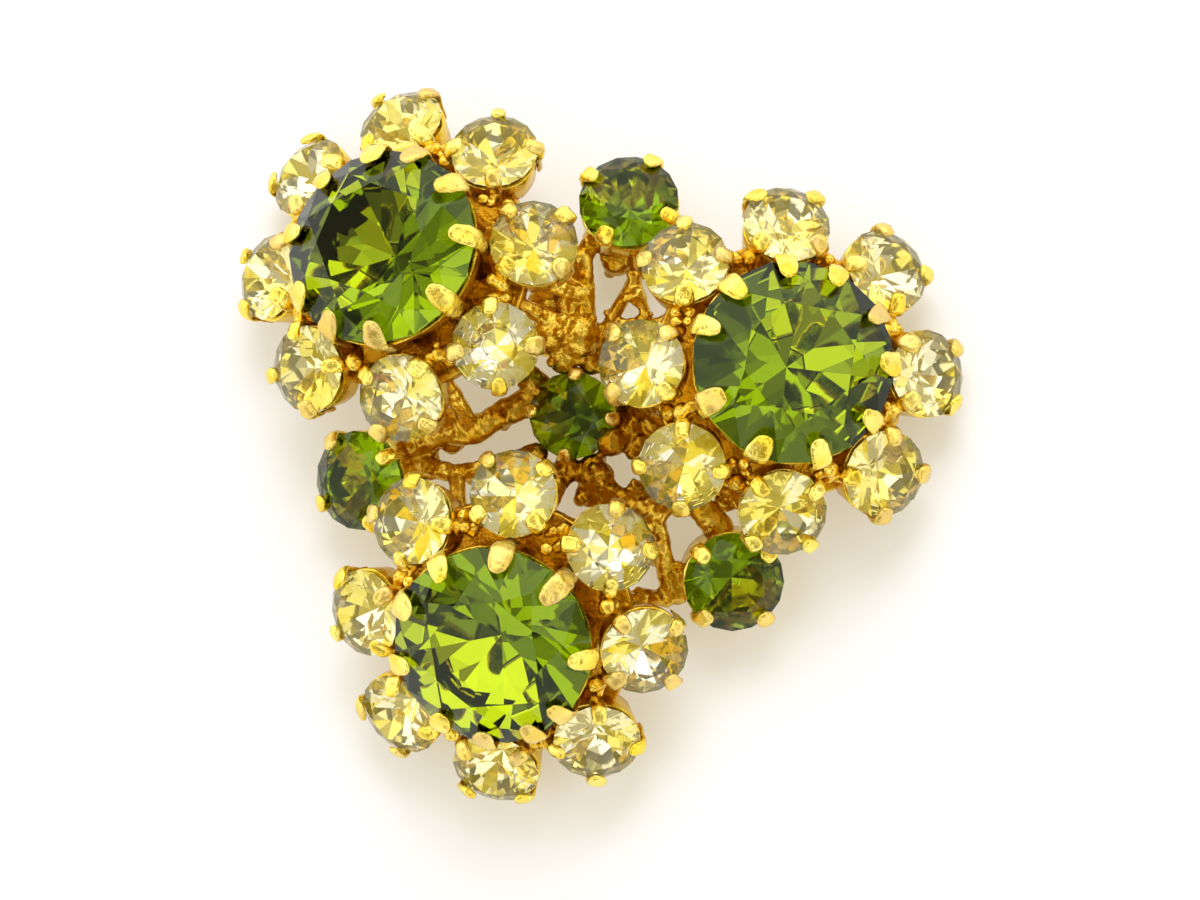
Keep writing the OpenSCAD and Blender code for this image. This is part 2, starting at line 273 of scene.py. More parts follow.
    @staticmethod
    def hand_over(piece: Piece, slot: Slot, *nodes: str) -> None:
        """Scales a finished piece to metres and gives it to the frame.

        Args:
            piece: The finished piece, in millimetres.
            slot: The material slot that it takes its finish from; not used.
            nodes: The solids that it stands for.
        """
        piece.data.transform(Matrix.Scale(MM, 4))
        piece.data.update()
        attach(piece, BODY)
        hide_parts(*nodes)
        log.info("%s: %d faces", piece.name, len(piece.data.polygons))


def turned(degrees: float, axis: str = "Z") -> Matrix:
    """A turn about one axis by an angle in degrees, as a matrix."""
    return Matrix.Rotation(math.radians(degrees), 4, axis)


def moved(x: float, y: float, z: float) -> Matrix:
    """A move by x, y and z, as a matrix."""
    return Matrix.Translation((x, y, z))


def on_circle(r: float, z: float, degrees: float) -> Vector:
    """The point at a radius, height and turn about the axis."""
    a = math.radians(degrees)
    return Vector((r * math.cos(a), r * math.sin(a), z))


def within(share: float) -> float:
    """A share, kept between 0 and 1."""
    return min(1.0, max(0.0, share))


@dataclass(frozen=True)
class Flower:
    """One flower's place and turns, in degrees and millimetres.

    Attributes:
        azimuth: Where it stands round the middle.
        out: How far out it stands.
        turn: The turn of its ring of stones.
        tab_turns: Where the tabs of its large stone stand, seen from the front.
    """

    azimuth: float
    out: float
    turn: float
    tab_turns: tuple[float, ...]


@dataclass(frozen=True)
class Bay:
    """One green stone between the flowers: its place round the middle, and the turn of its four tabs."""

    azimuth: float
    out: float
    turn: float


@dataclass(frozen=True)
class Layout:
    """Where every stone sits. The middle green stone's axis is the middle of the layout."""

    middle: Pair = (1.1, -1.19)
    flowers: tuple[Flower, ...] = (
        Flower(136.5, 12.8, 4.0, (170, 133, 96, 69, 36, 1, -39, -87, -119, -148)),
        Flower(252.8, 12.0, -7.3, (153, 119, 79, 41, -6, -44, -66, -97, -125, -170)),
        Flower(13.0, 12.1, -1.0, (-1, 30, 64, 95, 131, 160, 206, 247, 285, 323)),
    )
    bays: tuple[Bay, ...] = (Bay(76.0, 12.4, 61.0), Bay(194.6, 12.4, 28.0), Bay(315.0, 12.4, 43.0))
    middle_stone: Bay = Bay(110.0, 0.4, 38.0)
    flower_tilt: float = 18.0
    petal_tilt: float = 25.0
    bay_tilt: float = 22.0
    ring_r: float = 7.86
    ring_count: int = 8
    large_rise: float = 2.6
    bay_z: float = 3.5
    middle_z: float = 3.3
    foot_r: float = 2.11
    foot_depth: float = 2.256
    foot_step: int = 10

    def origin(self) -> Matrix:
        """The layout's middle, seen from the brooch's own origin."""
        return moved(-self.middle[0], -self.middle[1], 0)

    def petal_turn(self, flower: Flower, k: int) -> float:
        """The turn of ring stone k about its flower's axis, in degrees."""
        return 360 / self.ring_count * k + flower.turn - flower.azimuth

    def petal(self, flower: Flower, k: int) -> Matrix:
        """A ring stone's place in its flower's own frame."""
        return turned(self.petal_turn(flower, k)) @ moved(self.ring_r, 0, 0) @ turned(self.petal_tilt, "Y")

    def height(self, flower: Flower) -> float:
        """The height of a flower's middle that rests its lowest ring cup on the surface.

        Args:
            flower: The flower.

        Returns:
            The height in millimetres.
        """
        tilt = turned(self.flower_tilt, "Y")
        feet = (
            tilt @ self.petal(flower, k) @ on_circle(self.foot_r, -self.foot_depth, turn)
            for k in range(self.ring_count)
            for turn in range(0, 360, self.foot_step)
        )
        return -min(foot.z for foot in feet)

    def at_flower(self, flower: Flower) -> Matrix:
        """The frame of one leaning flower."""
        stand = moved(flower.out, 0, self.height(flower))
        return self.origin() @ turned(flower.azimuth) @ stand @ turned(self.flower_tilt, "Y")

    def at_large(self, flower: Flower) -> Matrix:
        """The place of a flower's large stone."""
        return self.at_flower(flower) @ moved(0, 0, self.large_rise)

    def at_petal(self, flower: Flower, k: int) -> Matrix:
        """The place of ring stone k of a flower."""
        return self.at_flower(flower) @ self.petal(flower, k)

    def at_bay(self, bay: Bay) -> Matrix:
        """The place of a green stone between two flowers."""
        stand = turned(bay.azimuth) @ moved(bay.out, 0, self.bay_z) @ turned(self.bay_tilt, "Y")
        return self.origin() @ stand @ turned(bay.turn - bay.azimuth - CUP_TURN)

    def at_middle(self) -> Matrix:
        """The place of the green stone in the middle."""
        stone = self.middle_stone
        stand = turned(stone.azimuth) @ moved(stone.out, 0, self.middle_z)
        return self.origin() @ stand @ turned(stone.turn - stone.azimuth)


class Nodes:
    """A small helper that lays out one tree of shader nodes."""

    # The Mix node's own numbers for its sockets when it mixes colours.
    MIX_SHARE, MIX_A, MIX_B, MIX_COLOUR = 0, 6, 7, 2

    def __init__(self, tree: bpy.types.NodeTree) -> None:
        """Takes up a tree."""
        self.tree = tree

    def node(self, kind: str, **values: object) -> bpy.types.Node:
        """Adds a node.

        Args:
            kind: The node's type.
            values: Its own settings.

        Returns:
            The node.
        """
        node = self.tree.nodes.new(kind)
        for name, value in values.items():
            setattr(node, name, value)
        return node

    def link(self, out: Socket, into: Socket) -> None:
        """Links one socket to another."""
        self.tree.links.new(out, into)

    def spread(self, value: Socket, low: float, high: float, start: float = 0.3, end: float = 0.7) -> Socket:
        """Spreads a value over a range.

        Args:
            value: The value.
            low: The result at the start.
            high: The result at the end.
            start: Where the range starts.
            end: Where the range ends.

        Returns:
            The spread value.
        """
        spread = self.node("ShaderNodeMapRange")
        for name, number in (("From Min", start), ("From Max", end), ("To Min", low), ("To Max", high)):
            spread.inputs[name].default_value = number
        self.link(value, spread.inputs["Value"])
        return spread.outputs["Result"]

    def mix(self, share: Socket, a: Socket | Colour, b: Colour) -> Socket:
        """Mixes two colours.

        Args:
            share: How much of the second one shows.
            a: The first colour, plain or from a node.
            b: The second colour.

        Returns:
            The mixed colour.
        """
        mix = self.node("ShaderNodeMix", data_type="RGBA")
        self.link(share, mix.inputs[self.MIX_SHARE])
        if isinstance(a, tuple):
            mix.inputs[self.MIX_A].default_value = (*a, 1.0)
        else:
            self.link(a, mix.inputs[self.MIX_A])
        mix.inputs[self.MIX_B].default_value = (*b, 1.0)
        return mix.outputs[self.MIX_COLOUR]

    def facing(self, toward: Socket, side: Direction) -> Socket:
        """How nearly a direction faces a side, from 1 straight at it to -1 away from it."""
        dot = self.node("ShaderNodeVectorMath", operation="DOT_PRODUCT")
        self.link(toward, dot.inputs[0])
        dot.inputs[1].default_value = Vector(side).normalized()
        return dot.outputs["Value"]

    def times(self, a: Socket, b: Socket) -> Socket:
        """Multiplies two values."""
        product = self.node("ShaderNodeMath", operation="MULTIPLY")
        self.link(a, product.inputs[0])
        self.link(b, product.inputs[1])
        return product.outputs[0]


class Shader(Nodes):
    """The nodes of one material, on the piece's own coordinates."""

    def __init__(self, name: str) -> None:
        """Starts an empty material.

        Args:
            name: The material's name.
        """
        self.material = bpy.data.materials.new(name)
        self.material.use_nodes = True
        super().__init__(self.material.node_tree)
        self.surface = self.tree.nodes["Principled BSDF"]
        self.place = self.node("ShaderNodeTexCoord").outputs["Object"]

    def plain(self, **values: float | Colour) -> None:
        """Sets the surface's own sockets, each named with _ for a space.

        Args:
            values: Each socket's value, a number or a colour.
        """
        for name, value in values.items():
            socket = self.surface.inputs[name.replace("_", " ")]
            socket.default_value = (*value, 1.0) if isinstance(value, tuple) else value

    def paint(self, name: str, value: Socket) -> None:
        """Links a value to one of the surface's sockets."""
        self.link(value, self.surface.inputs[name])

    def noise(self, size_mm: float, detail: float = 2.0, rough: float = 0.5) -> Socket:
        """A noise whose blotches are about as large as a size in millimetres.

        Args:
            size_mm: The blotches' size.
            detail: How many finer layers it has.
            rough: How strong the finer layers are.

        Returns:
            The noise's value, from 0 to 1.
        """
        noise = self.node("ShaderNodeTexNoise")
        noise.inputs["Scale"].default_value = 1 / (size_mm * MM)
        noise.inputs["Detail"].default_value = detail
        noise.inputs["Roughness"].default_value = rough
        self.link(self.place, noise.inputs["Vector"])
        return noise.outputs["Fac"]

    def attribute(self, name: str) -> Socket:
        """A value that the piece carries."""
        return self.node("ShaderNodeAttribute", attribute_name=name).outputs["Fac"]

    def ramp(self, value: Socket, stops: Stops) -> Socket:
        """Colours along a value.

        Args:
            value: The value that chooses the colour.
            stops: Each place along it and the colour there.

        Returns:
            The colour.
        """
        ramp = self.node("ShaderNodeValToRGB")
        elements = ramp.color_ramp.elements
        while len(elements) < len(stops):
            elements.new(0.5)
        for element, (where, colour) in zip(elements, stops, strict=True):
            element.position = where
            element.color = (*colour, 1.0)
        self.link(value, ramp.inputs["Fac"])
        return ramp.outputs["Color"]

    def bump(self, height: Socket, strength: float, depth_mm: float) -> None:
        """Gives the surface a relief.

        Args:
            height: The relief's height.
            strength: How strong it is.
            depth_mm: Its depth in millimetres.
        """
        bump = self.node("ShaderNodeBump")
        bump.inputs["Strength"].default_value = strength
        bump.inputs["Distance"].default_value = depth_mm * MM
        self.link(height, bump.inputs["Height"])
        self.paint("Normal", bump.outputs["Normal"])


@dataclass(frozen=True)
class Gilt:
    """Gilt brass: yellow with deeper patches, and dull tan where a tab's plating is worn.

    Attributes:
        name: The finish's name.
        bright: The plating's colour.
        deep: Its colour in the deeper patches.
        worn: The colour under the plating.
        painted_shade: The colour of painted shade on the metal deep in the setting.
        blotch_mm: The size of the deeper patches.
        blotch: Where in their noise the plating turns from deep to bright.
        smooth: The lowest roughness.
        rough: The highest roughness.
        dull: How much rougher worn metal is.
        wear_mm: The size of the worn patches on a tab.
        wear: The least and the most wear in them.
        grain_mm: The size of the small unevenness.
        relief_mm: How deep that unevenness is.
    """

    name: str
    bright: Colour = (1.0, 0.87, 0.21)
    deep: Colour = (0.95, 0.69, 0.05)
    worn: Colour = (0.74, 0.52, 0.2)
    painted_shade: Colour = (0.68, 0.39, 0.025)
    blotch_mm: float = 1.6
    blotch: Span = (0.36, 0.62)
    smooth: float = 0.12
    rough: float = 0.3
    dull: float = 0.14
    wear_mm: float = 0.9
    wear: Span = (0.35, 1.0)
    grain_mm: float = 0.4
    relief_mm: float = 0.06

    def make(self) -> Finish:
        """Builds the finish as a material."""
        shader = Shader(self.name)
        deep_to, bright_from = self.blotch
        blotch = shader.noise(self.blotch_mm, detail=3.0)
        plating = shader.ramp(blotch, ((deep_to, self.deep), (bright_from, self.bright)))
        wear = shader.times(shader.attribute("worn"), shader.spread(shader.noise(self.wear_mm), *self.wear))
        # Painted shade: the metal turns to the shade colour where it lies deep in the setting.
        shade = shader.mix(shader.attribute("painted_shade"), plating, self.painted_shade)
        shader.paint("Base Color", shader.mix(wear, shade, self.worn))
        shader.plain(Metallic=1.0)
        grain = shader.noise(self.grain_mm, detail=3.0, rough=0.6)
        roughness = shader.node("ShaderNodeMath", operation="MULTIPLY_ADD")
        shader.link(wear, roughness.inputs[0])
        roughness.inputs[1].default_value = self.dull
        shader.link(shader.spread(grain, self.smooth, self.rough), roughness.inputs[2])
        shader.paint("Roughness", roughness.outputs[0])
        shader.bump(grain, 1.0, self.relief_mm)
        return shader.material


@dataclass(frozen=True)
class CrownGlass:
    """The clear front of a glass stone.

    Attributes:
        name: The finish's name.
        tint: The colour that light takes on in it.
        glint: The colour of what it mirrors.
        gloss: How much its polish mirrors on top of that.
        ior: How strongly it bends light.
        polish_ior: How strongly its polish mirrors at a low angle.
        ripple_mm: The size of the faint ripples that its polish leaves.
        ripple: How strong they are.
        ripple_depth_mm: How deep they are.
    """

    name: str
    tint: Colour
    glint: Colour
    gloss: float = 0.0
    ior: float = 1.46
    polish_ior: float = 1.6
    ripple_mm: float = 0.8
    ripple: float = 0.25
    ripple_depth_mm: float = 0.004

    def make(self) -> Finish:
        """Builds the finish as a material."""
        shader = Shader(self.name)
        shader.plain(Base_Color=self.tint, Specular_Tint=self.glint, Roughness=0.0, IOR=self.ior)
        shader.plain(Transmission_Weight=1.0, Coat_Weight=self.gloss, Coat_IOR=self.polish_ior)
        shader.bump(shader.noise(self.ripple_mm, detail=1.0), self.ripple, self.ripple_depth_mm)
        return shader.material


@dataclass(frozen=True)
class Foil:
    """The foiled back of a glass stone, where each facet has a tone of its own.

    Attributes:
        name: The finish's name.
        tones: The colours from the darkest facet to the lightest.
        haze: The lowest and the highest roughness.
        haze_mm: The size of the rougher patches.
        shine: How much of it mirrors, the rest being milky.
        gilt_reflection_tone: The colour of the painted reflection of a gilt cup, where a stone leans out over
            it.
    """

    name: str
    tones: Stops
    haze: Span = (0.0, 0.04)
    haze_mm: float = 0.7
    shine: float = 1.0
    gilt_reflection_tone: Colour = (1.0, 0.88, 0.3)

    def make(self) -> Finish:
        """Builds the finish as a material."""
        shader = Shader(self.name)
        tone = shader.ramp(shader.attribute("tone"), self.tones)
        # Painted reflection of the gilt cup, on the stones that lean out over it.
        shader.paint("Base Color", shader.mix(shader.attribute("painted_gilt_reflection"), tone, self.gilt_reflection_tone))
        shader.plain(Metallic=self.shine)
        shader.paint("Roughness", shader.spread(shader.noise(self.haze_mm), *self.haze))
        return shader.material


@dataclass(frozen=True)
class Brilliant:
    """A round cut stone: a table, stars, kites and girdle facets on the crown, and a pointed back.

    Attributes:
        diameter: The girdle's diameter.
        crown: The crown's height as a share of the diameter.
        depth: The back's depth as a share of the diameter.
        table: The table's width as a share of the diameter.
        girdle: The girdle's height as a share of the diameter.
        split: How far toward the point the lower girdle facets reach, as a share of the radius.
        mains: How many main facets it has round it.
        slack: How near a corner a cut may pass and still take it.
        weld: Corners nearer than this are merged.
        back_from: A facet is on the back where its normal's height is under this.
        point_slack: A facet reaches the point where it comes this near to it.
    """

    diameter: float
    crown: float = 0.16
    depth: float = 0.37
    table: float = 0.56
    girdle: float = 0.012
    split: float = 0.3
    mains: int = 8
    slack: float = 0.0001
    weld: float = 0.002
    back_from: float = -0.1
    point_slack: float = 0.05

    def cuts(self) -> Iterator[tuple[Vector, Vector, Vector]]:
        """The three points that each facet's cut passes through, in the order that they are cut.

        Returns:
            The points of one cut after another.
        """
        step = 360 / self.mains
        half = step / 2
        r = self.diameter / 2
        table_r, top = self.table * r, self.crown * self.diameter
        low, point = -self.girdle * self.diameter, -self.depth * self.diameter
        star_r = (table_r + r) / 2
        lean = math.cos(math.radians(half))
        star_z = top * (r - star_r * lean) / (r - table_r)
        split_r = self.split * r
        split_z = low + (point - low) * (1 - split_r * lean / r)
        for k in range(self.mains):
            turn = k * step
            along = on_circle(1, 0, turn + 90)
            edge, foot = on_circle(r, 0, turn), on_circle(r, low, turn)
            corner, next_corner = on_circle(table_r, top, turn), on_circle(table_r, top, turn + step)
            yield edge, edge + along, corner
            yield corner, next_corner, on_circle(star_r, star_z, turn + half)
            yield foot, foot + along, Vector((0, 0, point))
            for between in (turn - half, turn + half):
                yield edge, on_circle(r, 0, between), on_circle(star_r, star_z, between)
                yield foot, on_circle(r, low, between), on_circle(split_r, split_z, between)

    def model(self, name: str) -> Piece:
        """Cuts the stone out of a round blank, facet by facet.

        Args:
            name: The model's name.

        Returns:
            The cut stone, with its girdle at the origin and its table facing up.
        """
        r, top, point = self.diameter / 2, self.crown * self.diameter, self.depth * self.diameter
        stone = Bench.blank(name, 2 * self.mains, r, top + point, (top - point) / 2)
        with Bench.shaping(stone):
            for a, b, c in self.cuts():
                normal = (b - a).cross(c - a).normalized()
                if normal.dot(a) < 0:
                    normal.negate()
                bpy.ops.mesh.select_all(action="SELECT")
                bpy.ops.mesh.bisect(
                    plane_co=a, plane_no=normal, use_fill=True, clear_outer=True, threshold=self.slack
                )
            bpy.ops.mesh.select_all(action="SELECT")
            bpy.ops.mesh.remove_doubles(threshold=self.weld)
            bpy.ops.mesh.normals_make_consistent(inside=False)
        return stone

    def dress(self, model: Piece, crown: Finish, foil: Finish) -> None:
        """Gives the cut stone a clear crown and a foiled back, and marks the back's main facets.

        Args:
            model: The cut stone.
            crown: The finish of the crown and girdle.
            foil: The finish of the facets that point down.
        """
        Bench.dress(model, crown, foil)
        points = model.data.vertices
        deepest = min(point.co.z for point in points) + self.point_slack
        main = []
        for facet in model.data.polygons:
            facet.material_index = 1 if facet.normal.z < self.back_from else 0
            main.append(float(min(points[p].co.z for p in facet.vertices) < deepest))
        model.data.attributes.new("main", "FLOAT", "FACE").data.foreach_set("value", main)


@dataclass
class StoneKind:
    """One kind of stone: how it is cut, dressed and named.

    Attributes:
        pieces: What its pieces are called, before their number.
        nodes: What the solids that they stand for are called, before their number.
        slot: Its material slot.
        cut: Its size and facets.
        crown: The finish of its front.
        foil: The finish of its back.
        step: Each stone is turned about its axis by some number of these degrees.
        rim: How much lighter the back's girdle facets are made than the facets that reach its point; this is
            painted shade on those facets, which draws the star of reflections.
        model: The cut and dressed model.
    """

    pieces: str
    nodes: str
    slot: Slot
    cut: Brilliant
    crown: Finish
    foil: Finish
    step: float = 11.25
    rim: float = 0.0
    model: Piece = field(init=False)

    def __post_init__(self) -> None:
        """Cuts and dresses the model."""
        self.model = self.cut.model(self.pieces + "_model")
        self.cut.dress(self.model, self.crown, self.foil)


@dataclass
class StoneBox:
    """All the stones: cut once in each kind, copied and set in their places.

    Attributes:
        layout: Where they sit.
        gilt_reflection_from: How far out the pale stones start to take a painted reflection of their gilt
            cups, and where it is full.
        gilt_reflection_most: The most of it that they take.
        turns: How many turns a stone is drawn from.
        seed: What the dice start from.
    """

    layout: Layout
    gilt_reflection_from: Span = (8.0, 18.0)
    gilt_reflection_most: float = 0.32
    turns: int = 8
    seed: int = 31
    dice: random.Random = field(init=False)

    def __post_init__(self) -> None:
        """Seeds the dice for the stones' turns and tones."""
        self.dice = random.Random(self.seed)

    def set_stone(self, kind: StoneKind, place: Matrix, number: int) -> None:
        """Sets one stone, with a tone of its own on each facet.

        Args:
            kind: The kind of stone.
            place: Where it goes.
            number: Its number among the stones of its name.
        """
        stone = Bench.copy(kind.model, place @ turned(kind.step * self.dice.randrange(self.turns)))
        stone.name = stone.data.name = f"{kind.pieces}_{number}"
        tone = stone.data.attributes.new("tone", "FLOAT", "FACE")
        main = stone.data.attributes["main"].data
        # The facets that reach the point take painted shade by rim, which draws a star.
        tones = [(1 - kind.rim) * self.dice.random() + kind.rim * (1 - facet.value) for facet in main]
        tone.data.foreach_set("value", tones)
        # The outer pale stones take a painted reflection of their gilt cups.
        if kind.slot is Slot.PALE:
            near, far = self.gilt_reflection_from
            out = (place.translation.xy.length - near) / (far - near)
            Bench.mark(stone, "painted_gilt_reflection", self.gilt_reflection_most * within(out))
        Bench.hand_over(stone, kind.slot, f"{kind.nodes}_{number}")

    def kinds(self) -> tuple[StoneKind, StoneKind, StoneKind, StoneKind]:
        """Cuts and dresses one stone of each kind.

        Returns:
            The large, the pale, the outer green and the middle stone.
        """
        green_crown = CrownGlass("green_crown", (0.9, 0.94, 0.32), (0.6, 0.75, 0.4), gloss=0.12).make()
        olive_crown = CrownGlass("olive_crown", (0.9, 0.94, 0.5), (0.6, 0.7, 0.5)).make()
        pale_crown = CrownGlass("pale_crown", (1.0, 0.985, 0.86), (1.0, 0.85, 0.4)).make()
        green_foil = Foil("green_foil", (
            (0.0, (0.13, 0.18, 0.02)), (0.38, (0.18, 0.24, 0.02)),
            (0.5, (0.41, 0.52, 0.015)), (1.0, (0.51, 0.62, 0.015)),
        )).make()
        olive_foil = Foil("olive_foil", (
            (0.0, (0.23, 0.3, 0.02)), (0.5, (0.37, 0.48, 0.02)), (1.0, (0.6, 0.75, 0.03)),
        ), haze=(0.02, 0.09), shine=0.94).make()
        star_foil = Foil("star_foil", (
            (0.0, (0.1, 0.16, 0.005)), (0.45, (0.2, 0.3, 0.01)),
            (0.55, (0.46, 0.62, 0.015)), (1.0, (0.72, 0.88, 0.02)),
        ), haze=(0.02, 0.09), shine=0.7).make()
        pale_foil = Foil("pale_foil", (
            (0.0, (0.83, 0.7, 0.08)), (0.28, (0.97, 0.87, 0.22)),
            (0.4, (1.0, 0.98, 0.72)), (1.0, (1.0, 1.0, 1.0)),
        ), haze=(0.01, 0.07), shine=0.74).make()
        large, outer, small = Brilliant(11.0), Brilliant(5.5, split=0.4), Brilliant(4.8, split=0.4)
        return (
            StoneKind("large_cut", "large_stone", Slot.GREEN, large, green_crown, green_foil, step=45),
            StoneKind("pale_cut", "pale_stone", Slot.PALE, small, pale_crown, pale_foil),
            StoneKind("green_cut", "green_stone", Slot.GREEN, outer, olive_crown, olive_foil, rim=0.2),
            StoneKind("green_cut", "green_stone", Slot.GREEN, small, olive_crown, star_foil, rim=0.5),
        )

    def build(self) -> None:
        """Cuts, dresses and sets every stone."""
        kinds = self.kinds()
        large, pale, green, middle = kinds
        for f, flower in enumerate(self.layout.flowers):
            self.set_stone(large, self.layout.at_large(flower), f + 1)
            for k in range(self.layout.ring_count):
                self.set_stone(pale, self.layout.at_petal(flower, k), f * self.layout.ring_count + k + 1)
        for number, bay in enumerate(self.layout.bays, 1):
            self.set_stone(green, self.layout.at_bay(bay), number)
        self.set_stone(middle, self.layout.at_middle(), len(self.layout.bays) + 1)
        for kind in kinds:
            bpy.data.objects.remove(kind.model)


@dataclass(frozen=True)
class TabStation:
    """One section of a tab: its place from the girdle outward and up, its lean, width and thickness."""

    out: float
    up: float
    lean: float
    width: float
    thick: float


@dataclass(frozen=True)
class Tab:
    """A tongue of metal that runs up a cup's wall and folds over the crown to a round tip.

    Attributes:
        girdle_r: The radius of the stone that it holds.
        stations: Its sections from the foot to the tip.
        foot: How far the foot runs on down the wall.
    """

    girdle_r: float
    stations: tuple[TabStation, ...]
    foot: float = 0.3

    def model(self, name: str) -> Piece:
        """Draws the tab out of a small block, section by section.

        Args:
            name: The model's name.

        Returns:
            The tab, standing on the +X side of its cup.
        """
        first = self.stations[0]
        Bench.clear()
        middle = (self.girdle_r + first.out, 0, first.up - self.foot / 2)
        bpy.ops.mesh.primitive_cube_add(size=1, location=middle)
        bpy.context.object.scale = (first.thick, first.width, self.foot)
        tab = Bench.ready(name)
        with Bench.shaping(tab):
            Bench.choose_top(tab)
            for last, here in zip(self.stations, self.stations[1:]):
                step = (here.out - last.out, 0, here.up - last.up)
                centre = (self.girdle_r + here.out, 0, here.up)
                lean = math.radians(here.lean - last.lean)
                bpy.ops.mesh.extrude_region_move(TRANSFORM_OT_translate={"value": step})
                bpy.ops.transform.rotate(value=lean, orient_axis="Y", center_override=centre)
                thick, wide = here.thick / last.thick, here.width / last.width
                bpy.ops.transform.resize(value=(thick, wide, thick), center_override=centre)
        Bench.modify(tab, "SUBSURF", levels=2, render_levels=2)
        Bench.take(tab)
        bpy.ops.object.shade_smooth()
        return tab


@dataclass(frozen=True)
class Cup:
    """A drawn cup that a stone sits in, with its rim dipping between the tabs.

    Attributes:
        rim_r: The rim's outer radius.
        foot_r: The base's radius.
        rim_z: The rim's height under the girdle.
        depth: The base's depth under the girdle.
        wall: The wall's thickness.
        floor: The floor's thickness.
        sides: How many sides the round wall has.
        dip: How far the rim dips between the tabs.
        dips: How often it dips on the way round.
        edge: How far its edges are rounded.
    """

    rim_r: float
    foot_r: float
    rim_z: float
    depth: float
    wall: float = 0.25
    floor: float = 0.3
    sides: int = 32
    dip: float = 0.0
    dips: int = 4
    edge: float = 0.08

    def model(self, name: str) -> Piece:
        """Draws the cup out of a round blank.

        Args:
            name: The model's name.

        Returns:
            The cup, with the girdle's plane at the origin.
        """
        high = self.depth - self.rim_z
        cup = Bench.blank(name, self.sides, self.rim_r, high, -(self.depth + self.rim_z) / 2)
        narrow = self.foot_r / self.rim_r
        inner = self.rim_r - self.wall
        with Bench.shaping(cup):
            Bench.choose_base(cup)
            bpy.ops.transform.resize(value=(narrow, narrow, 1), center_override=(0, 0, -self.depth))
            Bench.choose_top(cup)
            bpy.ops.mesh.inset(thickness=self.wall)
            bpy.ops.mesh.extrude_region_move(TRANSFORM_OT_translate={"value": (0, 0, -(high - self.floor))})
            shrink = (self.foot_r - self.wall) / inner
            floor = (0, 0, self.floor - self.depth)
            bpy.ops.transform.resize(value=(shrink, shrink, 1), center_override=floor)
        if self.dip:
            for point in cup.data.vertices:
                if point.co.z > -self.rim_z - HAIR:
                    turn = math.atan2(point.co.y, point.co.x)
                    point.co.z -= self.dip * (0.5 - 0.5 * math.cos(self.dips * turn))
        with Bench.shaping(cup, "EDGE"):
            Bench.choose(cup, "edges", lambda edge: self.is_rim(edge) or self.is_foot(edge))
            bpy.ops.mesh.bevel(offset=self.edge, segments=2, affect="EDGES")
        Bench.smooth(cup)
        return cup

    def is_rim(self, edge: Edge) -> bool:
        """Whether an edge runs round the rim."""
        low, high = sorted(vert.co.z for vert in edge.verts)
        level = high - low < self.dip / 2 + HAIR
        return low > -self.rim_z - self.dip - HAIR and level and Bench.is_round(edge)

    def is_foot(self, edge: Edge) -> bool:
        """Whether an edge runs round the base."""
        return max(vert.co.z for vert in edge.verts) < -self.depth + HAIR and Bench.is_round(edge)


